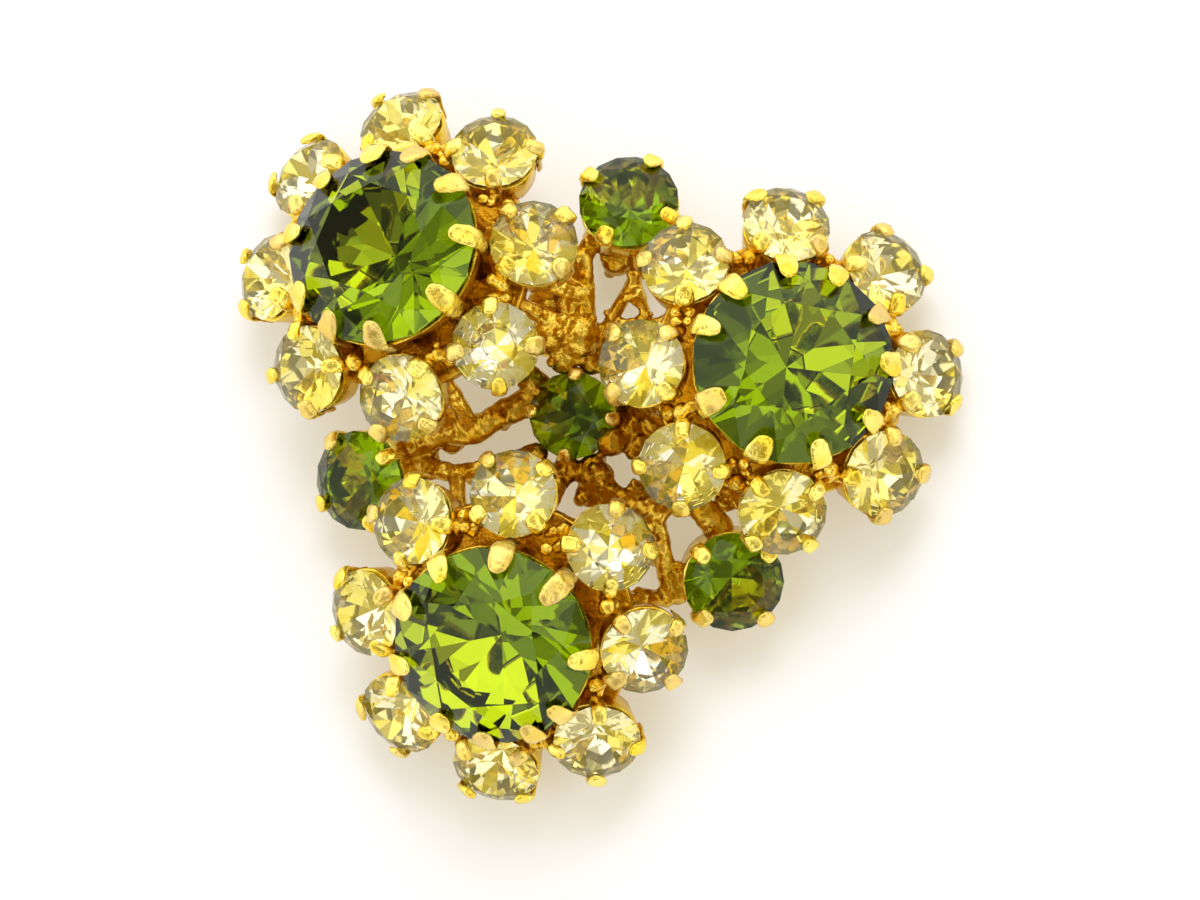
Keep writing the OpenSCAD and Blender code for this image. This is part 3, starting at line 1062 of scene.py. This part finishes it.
@dataclass
class Mounts:
    """The models that every setting is put together from, and how they vary as bent by hand."""

    small_tab: Tab = Tab(2.4, (
        TabStation(-0.04, -1.3, 0, 0.8, 0.24),
        TabStation(0.04, -0.6, 6, 0.9, 0.3),
        TabStation(0.19, -0.05, 10, 1.0, 0.36),
        TabStation(0.13, 0.32, 34, 1.06, 0.4),
        TabStation(-0.16, 0.52, 56, 1.08, 0.42),
        TabStation(-0.44, 0.7, 54, 0.98, 0.42),
        TabStation(-0.66, 0.84, 54, 0.6, 0.3),
    ))
    bay_tab: Tab = Tab(2.75, small_tab.stations)
    middle_tab: Tab = Tab(2.4, (
        TabStation(-0.04, -1.3, 0, 0.7, 0.22),
        TabStation(0.02, -0.6, 6, 0.76, 0.26),
        TabStation(0.15, -0.05, 10, 0.8, 0.3),
        TabStation(0.08, 0.26, 34, 0.84, 0.32),
        TabStation(-0.14, 0.42, 56, 0.84, 0.32),
        TabStation(-0.34, 0.54, 54, 0.7, 0.3),
        TabStation(-0.48, 0.62, 54, 0.42, 0.22),
    ))
    large_tab: Tab = Tab(5.5, (
        TabStation(-0.06, -1.9, 0, 1.0, 0.26),
        TabStation(0.04, -0.75, 4, 1.2, 0.32),
        TabStation(0.2, -0.05, 8, 1.34, 0.38),
        TabStation(0.12, 0.4, 32, 1.42, 0.42),
        TabStation(-0.24, 0.74, 50, 1.4, 0.42),
        TabStation(-0.66, 1.1, 48, 1.22, 0.4),
        TabStation(-1.02, 1.42, 48, 0.66, 0.3),
    ))
    small_cup: Cup = Cup(2.38, 2.1, 0.36, 2.24, floor=0.22, dip=0.14)
    bay_cup: Cup = Cup(2.74, 2.6, 0.36, 2.56, dip=0.14)
    large_cup: Cup = Cup(5.46, 3.9, 0.55, 4.5, floor=0.2, sides=48)
    small_tabs: int = 4
    # How far a small cup's tabs stand off their even places, and how each tab is turned about its foot,
    # bent out or in, and stretched in depth, width and height.
    shake: Span = (-4, 4)
    twist: Span = (-7, 7)
    lean: Span = (-4, 3)
    stretch: tuple[Span, Span, Span] = ((0.95, 1.12), (0.86, 1.12), (0.96, 1.06))
    # The share of worn tabs, and how much these and the others are worn.
    worn_share: float = 0.32
    worn: Span = (0.55, 1.0)
    fresh: Span = (0.0, 0.2)
    dents: tuple[Pair, ...] = ((1.1, 0.2), (0.45, 0.11))
    # How deep under the girdle the painted shade starts, how soon it is full, and the large cups' own.
    dark_from: float = 0.1
    dark_depth: float = 1.2
    cup_dark: float = 0.8
    seed: int = 7
    dice: random.Random = field(init=False)
    tabs: dict[str, Tab] = field(init=False)
    models: dict[str, Piece] = field(init=False)

    def __post_init__(self) -> None:
        """Makes each tab and cup once."""
        self.dice = random.Random(self.seed)
        self.tabs = {
            "small_tab": self.small_tab,
            "bay_tab": self.bay_tab,
            "middle_tab": self.middle_tab,
            "large_tab": self.large_tab,
        }
        cups = {"small_cup": self.small_cup, "bay_cup": self.bay_cup, "large_cup": self.large_cup}
        self.models = {name: kind.model(name + "_model") for name, kind in (self.tabs | cups).items()}
        # Painted shade, growing down the cups and tabs.
        for model in self.models.values():
            Bench.grade(model, "painted_shade", self.painted_shade)
        # The large cups take painted shade all over.
        Bench.mark(self.models["large_cup"], "painted_shade", self.cup_dark)

    def painted_shade(self, place: Vector) -> float:
        """How much painted shade a point of a cup or tab takes by how deep it lies, from 0 at the girdle to 1
        in the solder.
        """
        return within((-place.z - self.dark_from) / self.dark_depth)

    def tab(self, kind: str, place: Matrix, turn: float) -> Piece:
        """Bends one tab over, each a little differently, as by hand.

        Args:
            kind: The tab's model.
            place: The stone's place.
            turn: Where the tab stands round the stone.

        Returns:
            The tab in its place.
        """
        dice = self.dice
        r = self.tabs[kind].girdle_r
        swing = moved(r, 0, 0) @ turned(dice.uniform(*self.twist)) @ turned(dice.uniform(*self.lean), "Y")
        size = Matrix.Diagonal((*(dice.uniform(*span) for span in self.stretch), 1))
        bent = swing @ size @ moved(-r, 0, 0)
        tab = Bench.copy(self.models[kind], place @ turned(turn) @ bent)
        Bench.mark(tab, "worn", dice.uniform(*(self.worn if dice.random() < self.worn_share else self.fresh)))
        return tab

    def large(self, place: Matrix, turns: Iterable[float]) -> list[Piece]:
        """Puts a large cup and its tabs together.

        Args:
            place: The stone's place.
            turns: Where its tabs stand round the stone.

        Returns:
            The cup and its tabs.
        """
        parts = [Bench.copy(self.models["large_cup"], place)]
        for turn in turns:
            parts.append(self.tab("large_tab", place, turn))
        return parts

    def small(self, place: Matrix, cup: str = "small_cup", tab: str = "small_tab") -> list[Piece]:
        """Puts a small cup and its four tabs together.

        Args:
            place: The stone's place.
            cup: The cup's model.
            tab: The tab's model.

        Returns:
            The cup and its tabs.
        """
        step = 360 / self.small_tabs
        parts = [Bench.copy(self.models[cup], place @ turned(CUP_TURN))]
        for t in range(self.small_tabs):
            parts.append(self.tab(tab, place, CUP_TURN + step * t + self.dice.uniform(*self.shake)))
        return parts

    def give(self, parts: list[Piece], name: str, finish: Finish) -> None:
        """Joins a setting's parts, dents it, dresses it and hands it over.

        Args:
            parts: Its cups, tabs and plate.
            name: The setting's name.
            finish: The gilt finish.
        """
        setting = Bench.join(parts, name)
        Bench.dent(setting, "dents", self.dents)
        Bench.dress(setting, finish)
        Bench.hand_over(setting, Slot.GILT, "setting")

    def put_away(self) -> None:
        """Removes the models once every copy is made."""
        for model in self.models.values():
            bpy.data.objects.remove(model)


@dataclass(frozen=True)
class Plate:
    """The round plate under a flower: a raised edge below, and a shallow well under the large stone's point.

    Attributes:
        r: Its radius.
        t: Its thickness.
        z: The height of its underside on the flower's axis.
        sides: How many sides it has.
        well_r: The well's radius.
        well_depth: The well's depth.
        rim: How wide the raised edge is.
        step: How far it stands out, and how wide the slope inside it is.
        edge: How far its outer edges are rounded.
        dark: How much painted shade it takes.
    """

    r: float = 7.0
    t: float = 0.68
    z: float = -2.05
    sides: int = 64
    well_r: float = 3.9
    well_depth: float = 0.3
    rim: float = 0.7
    step: float = 0.25
    edge: float = 0.14
    dark: float = 0.9

    def middle(self) -> float:
        """The height of its middle on the flower's axis."""
        return self.z + self.t / 2

    def model(self, place: Matrix) -> Piece:
        """Draws the plate out of a round blank.

        Args:
            place: The flower's place.

        Returns:
            The plate in its place.
        """
        plate = Bench.blank("plate", self.sides, self.r, self.t, self.middle())
        with Bench.shaping(plate):
            Bench.choose_base(plate)
            bpy.ops.mesh.inset(thickness=self.rim)
            bpy.ops.mesh.inset(thickness=self.step)
            bpy.ops.transform.translate(value=(0, 0, self.step))
            Bench.choose_top(plate)
            bpy.ops.mesh.inset(thickness=self.r - self.well_r)
            bpy.ops.transform.translate(value=(0, 0, -self.well_depth))
        with Bench.shaping(plate, "EDGE"):
            Bench.choose(plate, "edges", self.is_outer)
            bpy.ops.mesh.bevel(offset=self.edge, segments=3, affect="EDGES")
        Bench.smooth(plate)
        # The plate lies under the stones: painted shade all over it.
        Bench.mark(plate, "painted_shade", self.dark)
        plate.data.transform(place)
        return plate

    def is_outer(self, edge: Edge) -> bool:
        """Whether an edge runs round the plate's outside."""
        return Bench.is_round(edge) and edge.verts[0].co.xy.length > self.r - HAIR


@dataclass(frozen=True)
class FlowerSetting:
    """One flower's metal: the gallery plate, a tall cup with ten tabs, and eight leaning ring cups.

    Attributes:
        layout: Where the stones sit.
        mounts: The models of the cups and tabs.
        plate: The gallery plate.
    """

    layout: Layout
    mounts: Mounts
    plate: Plate = Plate()

    def build(self, number: int, flower: Flower, finish: Finish) -> None:
        """Puts one flower's metal together.

        Args:
            number: The flower's number.
            flower: The flower's place and turns.
            finish: The gilt finish.
        """
        turns = (turn - flower.azimuth for turn in flower.tab_turns)
        parts = [self.plate.model(self.layout.at_flower(flower))]
        parts += self.mounts.large(self.layout.at_large(flower), turns)
        for k in range(self.layout.ring_count):
            parts += self.mounts.small(self.layout.at_petal(flower, k))
        self.mounts.give(parts, f"flower_setting_{number}", finish)


@dataclass(frozen=True)
class Station:
    """A point along an arm: its place from the middle stone's axis, its height and its width."""

    x: float
    y: float
    z: float
    width: float


@dataclass
class Solder:
    """The solder as balls of metal, which are fused into the openwork later."""

    cuts: int = 2
    # A lump's height as a share of its width, and how far its crumbs reach out, also as a share, before
    # they sink in a little.
    squash: float = 0.75
    crumbs: int = 7
    crumb_reach: float = 0.42
    crumb_sink: float = 0.9
    crumb_w: Span = (0.35, 0.75)
    # The drops by each ring stone: the turn from it and the height along the flower's axis, how far off
    # that axis they lie, less so with each millimetre of height, and how all that varies.
    spots: tuple[Pair, ...] = (
        (-22.5, 0.9), (-22.5, 0.3), (-22.5, -0.4), (-17.0, 0.2), (-28.0, 0.2), (-9.0, -1.2), (9.0, -1.2),
    )
    wall_r: float = 6.1
    wall_lean: float = 0.25
    wall_turn: Span = (-3, 3)
    wall_out: Span = (-0.15, 0.5)
    wall_rise: Span = (-0.3, 0.3)
    wall_w: Span = (0.5, 1.1)
    wall_squash: Span = (0.7, 1.0)
    # The drops on each stretch of an arm, beside its middle and over it.
    arm_drops: int = 3
    arm_side: Span = (-0.4, 0.4)
    arm_rise: Span = (0.1, 0.45)
    arm_w: Span = (0.35, 0.7)
    seed: int = 11
    dice: random.Random = field(init=False)

    def __post_init__(self) -> None:
        """Seeds the dice."""
        self.dice = random.Random(self.seed)

    def ball(self, centre: Vector, width: float, squash: float = 1.0) -> Piece:
        """Adds a ball of metal.

        Args:
            centre: Its middle.
            width: Its width.
            squash: Its height as a share of its width.

        Returns:
            The ball.
        """
        Bench.clear()
        bpy.ops.mesh.primitive_ico_sphere_add(subdivisions=self.cuts, radius=width / 2, location=centre)
        ball = bpy.context.object
        ball.scale.z = squash
        return ball

    def jog(self, *spans: Span) -> Vector:
        """A small move, drawn along each axis in turn."""
        return Vector([self.dice.uniform(*span) for span in spans])

    def lump(self, centre: Vector, width: float) -> list[Piece]:
        """A lump of solder with crumbs about it.

        Args:
            centre: Its middle.
            width: Its width.

        Returns:
            The lump and its crumbs.
        """
        reach = (-self.crumb_reach * width, self.crumb_reach * width)
        balls = [self.ball(centre, width, self.squash)]
        for _ in range(self.crumbs):
            spot = centre + self.jog(reach, reach, reach) * self.crumb_sink
            balls.append(self.ball(spot, self.dice.uniform(*self.crumb_w)))
        return balls

    def on_wall(self, place: Matrix, stone_turn: float) -> list[Piece]:
        """The drops where one ring cup meets its plate and its neighbour.

        Args:
            place: The flower's place.
            stone_turn: The turn of the cup's stone about the flower's axis.

        Returns:
            The drops.
        """
        dice = self.dice
        drops = []
        for away, rise in self.spots:
            turn = stone_turn + away + dice.uniform(*self.wall_turn)
            r = self.wall_r - self.wall_lean * rise + dice.uniform(*self.wall_out)
            spot = place @ on_circle(r, rise + dice.uniform(*self.wall_rise), turn)
            drops.append(self.ball(spot, dice.uniform(*self.wall_w), dice.uniform(*self.wall_squash)))
        return drops

    def on_arm(self, start: Vector, end: Vector) -> list[Piece]:
        """The drops on one stretch of an arm.

        Args:
            start: Where the stretch starts.
            end: Where it ends.

        Returns:
            The drops.
        """
        drops = []
        for _ in range(self.arm_drops):
            spot = start.lerp(end, self.dice.random())
            spot += self.jog(self.arm_side, self.arm_side, self.arm_rise)
            drops.append(self.ball(spot, self.dice.uniform(*self.arm_w)))
        return drops


@dataclass
class Frame:
    """The openwork between the flowers, and the cups of the green stones.

    Attributes:
        swell: How much wider the solder leaves the arms.
        strut_foot: Where a strut starts, with its flower straight to the right of the middle.
        bite: How far in from a plate's edge a link or strut ends.
        grain: The grain that everything is fused in.
        melt: How strongly, and how often, the fused metal is smoothed.
        lowest: No part of the openwork reaches lower than this.
        links: Each link by its arm, its station there, and the flower whose plate it runs to.
        fills: The smaller lumps of solder, which fill corners.
    """

    layout: Layout
    mounts: Mounts
    plate: Plate = Plate()
    solder: Solder = field(default_factory=Solder)
    arm_t: float = 0.85
    swell: float = 0.12
    rod_sides: int = 16
    link_w: float = 1.0
    strut_w: float = 1.5
    strut_foot: Direction = (2.8, 0, 2.5)
    bite: float = 0.5
    grain: float = 0.12
    melt: tuple[float, int] = (0.5, 2)
    dents: tuple[Pair, ...] = ((0.9, 0.25), (0.35, 0.08))
    lowest: float = 0.3
    # It takes painted shade under a height, and within a distance of the middle.
    dark_from: float = 4.6
    dark_depth: float = 2.0
    dark_low: float = 0.75
    dark_r: float = 8.0
    dark_inner: float = 0.6
    arms: tuple[tuple[Station, ...], ...] = (
        (
            Station(0.4, 4.8, 3.0, 1.6), Station(0.5, 7.0, 3.3, 1.2),
            Station(0.45, 9.0, 3.3, 1.0), Station(1.19, 10.55, 2.6, 1.2),
        ),
        (
            Station(1.5, 4.7, 3.0, 1.2), Station(2.25, 6.0, 3.3, 0.55),
            Station(3.3, 8.0, 3.1, 0.6), Station(3.4, 9.6, 2.4, 1.1),
        ),
        (Station(3.3, 7.8, 3.1, 0.5), Station(3.85, 6.0, 3.2, 0.5), Station(3.95, 5.2, 3.0, 0.6)),
        (Station(2.1, 5.3, 3.0, 0.7), Station(3.9, 5.1, 3.0, 0.7), Station(5.6, 5.6, 2.9, 0.9)),
        (
            Station(-2.2, 1.4, 2.8, 1.7), Station(-4.4, 0.3, 3.1, 1.3), Station(-5.6, -0.4, 3.2, 1.5),
            Station(-7.0, -0.35, 3.3, 1.6), Station(-9.2, -1.0, 2.7, 1.3),
        ),
        (
            Station(-2.2, -1.7, 2.8, 1.2), Station(-4.6, -2.4, 3.2, 1.0),
            Station(-6.6, -2.8, 3.3, 0.9), Station(-8.8, -2.3, 2.7, 1.2),
        ),
        (
            Station(0.7, -3.0, 3.0, 1.3), Station(2.5, -4.1, 3.1, 1.0), Station(4.5, -5.2, 3.3, 0.8),
            Station(4.9, -7.0, 3.3, 0.8), Station(5.1, -9.4, 2.8, 1.0),
        ),
        (Station(5.0, -9.6, 2.8, 0.9), Station(3.6, -9.5, 3.4, 0.7)),
        (Station(6.6, -4.4, 3.3, 1.3), Station(7.9, -5.9, 2.7, 1.6)),
    )
    links: tuple[tuple[int, int, int], ...] = (
        (0, 1, 0), (0, 0, 0), (1, 0, 2), (4, 2, 0), (5, 2, 1), (6, 2, 1), (6, 2, 2), (7, 1, 1), (8, 0, 2),
    )
    lumps: tuple[Station, ...] = (
        Station(0.1, 4.7, 3.5, 2.6), Station(-1.3, 4.8, 4.0, 2.2), Station(-0.6, 3.5, 3.3, 1.8),
        Station(-0.5, -2.6, 3.0, 1.6), Station(2.0, -1.1, 3.2, 1.7), Station(2.2, 9.0, 2.2, 2.0),
        Station(-8.6, -1.7, 2.3, 1.9),
    )
    fills: tuple[Station, ...] = (
        Station(-1.7, 6.6, 2.9, 2.0), Station(0.9, 3.4, 2.9, 1.7), Station(2.9, -0.5, 2.8, 1.4),
        Station(-0.3, 6.0, 3.2, 1.5), Station(-0.4, 7.6, 3.0, 1.4), Station(1.4, -2.9, 2.9, 1.5),
        Station(-2.4, -1.9, 2.9, 1.3), Station(-2.5, 1.9, 2.9, 1.4), Station(0.6, -3.9, 2.6, 1.5),
        Station(1.9, -4.3, 2.6, 1.6), Station(3.2, -4.8, 2.6, 1.6), Station(4.1, -6.1, 2.6, 1.4),
        Station(4.4, -7.3, 2.6, 1.2), Station(4.0, -4.5, 2.9, 1.3), Station(6.0, -8.5, 2.6, 1.7),
        Station(5.6, -9.3, 2.6, 1.5), Station(-7.2, 0.2, 3.0, 1.5), Station(0.9, -2.3, 2.7, 1.4),
        Station(3.1, -0.2, 2.8, 1.4), Station(3.2, -1.4, 2.7, 1.4), Station(3.4, -3.6, 2.8, 1.0),
        Station(4.2, -0.2, 2.7, 1.6), Station(8.3, -4.1, 2.5, 1.7), Station(-6.9, -1.0, 2.7, 1.5),
        Station(-5.6, -2.8, 2.7, 1.5), Station(-4.0, 0.4, 2.7, 1.4),
    )

    def rod(self, a: Vector, b: Vector, wide_a: float, wide_b: float) -> list[Piece]:
        """A flattened rod between two points, with round ends.

        Args:
            a: Its start.
            b: Its end.
            wide_a: Its width at the start.
            wide_b: Its width at the end.

        Returns:
            The rod and its ends.
        """
        along = b - a
        Bench.clear()
        bpy.ops.mesh.primitive_cone_add(
            vertices=self.rod_sides, radius1=wide_a / 2, radius2=wide_b / 2, depth=along.length
        )
        rod = bpy.context.object
        rod.rotation_mode = "QUATERNION"
        rod.rotation_quaternion = along.to_track_quat("Z", "Y")
        rod.location = (a + b) / 2
        rod.scale.y = min(1, self.arm_t / max(wide_a, wide_b))
        ends = ((a, wide_a), (b, wide_b))
        return [rod, *(self.solder.ball(at, wide, min(1, self.arm_t / wide)) for at, wide in ends)]

    def at(self, station: Station) -> Vector:
        """A station's point, seen from the brooch's own origin."""
        return self.layout.origin() @ Vector((station.x, station.y, station.z))

    def on_plate(self, f: int, point: Vector) -> Vector:
        """The point of a flower's plate that is nearest to a point of the frame.

        Args:
            f: The flower's number, from 0.
            point: The point.

        Returns:
            A point a little in from the plate's edge, halfway up it.
        """
        place = self.layout.at_flower(self.layout.flowers[f])
        away = place.inverted() @ point
        flat = Vector((away.x, away.y)).normalized() * (self.plate.r - self.bite)
        return place @ Vector((flat.x, flat.y, self.plate.middle()))

    def stretches(self) -> Iterator[tuple[Station, Station]]:
        """Every stretch of every arm, by the stations at its two ends."""
        for arm in self.arms:
            yield from zip(arm, arm[1:])

    def bars(self) -> list[Piece]:
        """The arms, the links to the plates and the struts.

        Returns:
            Their rods and round ends.
        """
        parts = []
        for start, end in self.stretches():
            parts += self.rod(self.at(start), self.at(end), start.width + self.swell, end.width + self.swell)
        for a, i, f in self.links:
            start = self.at(self.arms[a][i])
            parts += self.rod(start, self.on_plate(f, start), self.link_w, self.link_w)
        for f, flower in enumerate(self.layout.flowers):
            start = self.layout.origin() @ turned(flower.azimuth) @ Vector(self.strut_foot)
            parts += self.rod(start, self.on_plate(f, start), self.strut_w, self.strut_w)
        return parts

    def soldering(self) -> list[Piece]:
        """The lumps and drops of solder.

        Returns:
            Their balls.
        """
        parts = []
        for lump in self.lumps + self.fills:
            parts += self.solder.lump(self.at(lump), lump.width)
        for flower in self.layout.flowers:
            for k in range(self.layout.ring_count):
                parts += self.solder.on_wall(self.layout.at_flower(flower), self.layout.petal_turn(flower, k))
        for start, end in self.stretches():
            parts += self.solder.on_arm(self.at(start), self.at(end))
        return parts

    def openwork(self, finish: Finish) -> None:
        """Fuses the bars and the solder into one rough piece.

        Args:
            finish: The finish of the soldered metal.
        """
        parts = self.bars() + self.soldering()
        Bench.settle(*parts)
        piece = Bench.join(parts, "openwork")
        factor, rounds = self.melt
        Bench.modify(piece, "REMESH", mode="VOXEL", voxel_size=self.grain)
        Bench.modify(piece, "SMOOTH", factor=factor, iterations=rounds)
        Bench.dent(piece, "solder", self.dents)
        for point in piece.data.vertices:
            point.co.z = max(point.co.z, self.lowest)
        Bench.take(piece)
        bpy.ops.object.shade_smooth()
        Bench.dress(piece, finish)
        # Painted shade on the openwork, deepest low down and in the middle.
        Bench.grade(piece, "painted_shade", self.shade)
        Bench.hand_over(piece, Slot.GILT, "setting")

    def shade(self, place: Vector) -> float:
        """How much painted shade the solder takes at a point: more low down, and most in the middle of the
        brooch.
        """
        low = within((self.dark_from - place.z) / self.dark_depth)
        inner = within(1.0 - place.xy.length / self.dark_r)
        return min(1.0, self.dark_low * low + self.dark_inner * inner)

    def cups(self, finish: Finish) -> None:
        """The cups of the green stones between the flowers and in the middle.

        Args:
            finish: The gilt finish.
        """
        for number, bay in enumerate(self.layout.bays, 1):
            parts = self.mounts.small(self.layout.at_bay(bay), "bay_cup", "bay_tab")
            self.mounts.give(parts, f"bay_cup_{number}", finish)
        parts = self.mounts.small(self.layout.at_middle(), "small_cup", "middle_tab")
        self.mounts.give(parts, "middle_cup", finish)


@dataclass(frozen=True)
class Card:
    """A card in the light tent, dark or bright, which the stones and the metal mirror.

    Attributes:
        toward: The direction that it is in.
        half_angle: How large it looks, in degrees.
        light: How much of the tent's light comes from there.
        soft: How soft its edge is, in degrees to either side.
    """

    toward: Direction
    half_angle: float
    light: float
    soft: float = 2.0

    def shade(self, nodes: Nodes, toward: Socket) -> Socket:
        """The card as a value over all directions.

        Args:
            nodes: The tent's nodes.
            toward: The direction.

        Returns:
            The card's light inside its edge, and 1 outside.
        """
        outer, inner = (math.cos(math.radians(self.half_angle + side * self.soft)) for side in (1, -1))
        value = nodes.spread(nodes.facing(toward, self.toward), 1.0, self.light, outer, inner)
        value.node.interpolation_type = "SMOOTHSTEP"
        return value


@dataclass(frozen=True)
class Studio:
    """The pale floor, the light tent with its cards, the soft lamp and the camera."""

    layout: Layout
    tent: float = 1.45
    cards: tuple[Card, ...] = (
        Card((0.12, -0.05, 1.0), 25, 0.33),
        Card((0.1, 0.95, 0.75), 22, 1.1),
        Card((-0.75, 0.45, 0.75), 14, 0.32),
        Card((0.7, -0.75, 0.8), 16, 0.32),
        Card((0.75, 0.7, 0.9), 13, 0.28),
        Card((-0.7, -0.75, 0.7), 14, 0.34),
        Card((0.9, 0.1, 0.25), 16, 0.32),
        Card((-0.2, -1.0, 0.3), 18, 0.32),
    )
    tent_tone: Colour = (1.0, 0.985, 0.96)
    card_tone: Colour = (1.0, 0.84, 0.45)
    key_side: Direction = (0.05, 0.85, 0.5)
    key_gain: Span = (0.78, 1.22)
    # The lamp's place and size and the floor's size are in metres.
    lamp_place: Direction = (0.04, 0.34, 0.3)
    lamp_size: float = 0.3
    lamp_power: float = 2.0
    floor_size: float = 1.2
    floor_tone: Colour = (0.4, 0.43, 0.515)
    floor_mottle: float = 0.02
    mottle_mm: float = 60.0
    mottle: Span = (0.3, 0.7)
    floor_rough: float = 0.8
    floor_sheen: float = 0.1
    # The light that the floor adds: an even warm glow, which shows most in its shade and stands in for light
    # bounced off the gilt.
    floor_light: Colour = (1.0, 0.87, 0.59)
    floor_glow: float = 0.46
    # The photo in pixels, and the camera in millimetres and degrees.
    photo_w: float = 1200.0
    photo_h: float = 900.0
    mm_per_pixel: float = 0.0546
    middle_px: Pair = (575.04, 422.1)
    look_z: float = 3.3
    distance: float = 300.0
    lean_x: float = 8.98
    lean_y: float = -2.67
    sensor: float = 36.0
    # The nearest and the farthest that the camera sees, in metres.
    reach: Span = (0.01, 10.0)

    def floor(self) -> None:
        """A plain pale floor."""
        Bench.clear()
        bpy.ops.mesh.primitive_plane_add(size=self.floor_size)
        floor = bpy.context.object
        floor.name = "floor"
        shader = Shader("pale_floor")
        low, high = (tuple(c + side * self.floor_mottle for c in self.floor_tone) for side in (-1, 1))
        dark_to, light_from = self.mottle
        patches = shader.noise(self.mottle_mm, detail=1.0)
        shader.paint("Base Color", shader.ramp(patches, ((dark_to, low), (light_from, high))))
        shader.plain(Roughness=self.floor_rough, Specular_IOR_Level=self.floor_sheen)
        shader.plain(Emission_Color=self.floor_light, Emission_Strength=self.floor_glow)
        Bench.dress(floor, shader.material)

    def light(self) -> None:
        """A white light tent with cards in it, brighter toward one side."""
        world = bpy.data.worlds.new("tent")
        bpy.context.scene.world = world
        world.use_nodes = True
        nodes = Nodes(world.node_tree)
        toward = nodes.node("ShaderNodeTexCoord").outputs["Generated"]
        level = reduce(nodes.times, [card.shade(nodes, toward) for card in self.cards])
        low, high = (self.tent * gain for gain in self.key_gain)
        gain = nodes.spread(nodes.facing(toward, self.key_side), low, high, -1.0, 1.0)
        background = nodes.tree.nodes["Background"].inputs
        nodes.link(nodes.times(level, gain), background["Strength"])
        nodes.link(nodes.mix(level, self.card_tone, self.tent_tone), background["Color"])

    def lamp(self) -> None:
        """One soft lamp, which isn't mirrored in the stones."""
        data = bpy.data.lights.new("soft_lamp", "AREA")
        data.shape = "DISK"
        data.size = self.lamp_size
        data.energy = self.lamp_power
        lamp = bpy.data.objects.new("soft_lamp", data)
        lamp.visible_glossy = False
        lamp.visible_transmission = False
        bpy.context.scene.collection.objects.link(lamp)
        lamp.location = self.lamp_place
        lamp.rotation_mode = "QUATERNION"
        lamp.rotation_quaternion = Vector(self.lamp_place).to_track_quat("Z", "Y")

    def camera(self) -> None:
        """A camera at the photograph's angle and framing."""
        toward = Vector((math.sin(math.radians(self.lean_x)), math.sin(math.radians(self.lean_y)), 0))
        toward.z = math.sqrt(1 - toward.length_squared)
        right = Vector((0, 1, 0)).cross(toward).normalized()
        up = toward.cross(right)
        spot = self.layout.origin() @ Vector((0, 0, self.look_z)) + toward * self.distance
        data = bpy.data.cameras.new("camera")
        data.sensor_width = self.sensor
        data.lens = self.sensor * self.distance / (self.photo_w * self.mm_per_pixel)
        data.shift_x = (self.photo_w / 2 - self.middle_px[0]) / self.photo_w
        data.shift_y = (self.middle_px[1] - self.photo_h / 2) / self.photo_w
        data.clip_start, data.clip_end = self.reach
        camera = bpy.data.objects.new("camera", data)
        bpy.context.scene.collection.objects.link(camera)
        turn = Matrix((right, up, toward)).transposed().to_4x4()
        camera.matrix_world = Matrix.Translation(spot * MM) @ turn
        bpy.context.scene.camera = camera

    def build(self) -> None:
        """Sets the whole studio up."""
        self.floor()
        self.light()
        self.lamp()
        self.camera()
        bpy.context.scene.view_settings.view_transform = "Standard"


def main() -> None:
    """Builds the brooch and the studio, and reports each piece."""
    logging.basicConfig(level=logging.INFO, format="%(name)s: %(message)s")
    layout = Layout()
    gilt = Gilt("gilt").make()
    # The soldered metal's darkest colour is its painted shade.
    soldered = Gilt(
        "soldered_gilt", bright=(1.0, 0.75, 0.12), deep=(0.66, 0.35, 0.012), painted_shade=(0.34, 0.155, 0.004),
        blotch_mm=0.8, smooth=0.1, rough=0.28, grain_mm=0.3, relief_mm=0.045,
    ).make()
    pin_gilt = Gilt("pin_gilt", smooth=0.2, rough=0.35, relief_mm=0.01).make()
    StoneBox(layout).build()
    mounts = Mounts()
    setting = FlowerSetting(layout, mounts)
    for number, flower in enumerate(layout.flowers, 1):
        setting.build(number, flower, gilt)
    openwork = Frame(layout, mounts)
    openwork.cups(gilt)
    openwork.openwork(soldered)
    mounts.put_away()
    Bench.dress(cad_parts["pin_back"], pin_gilt)
    Studio(layout).build()
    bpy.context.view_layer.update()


if __name__ == "__main__":
    main()
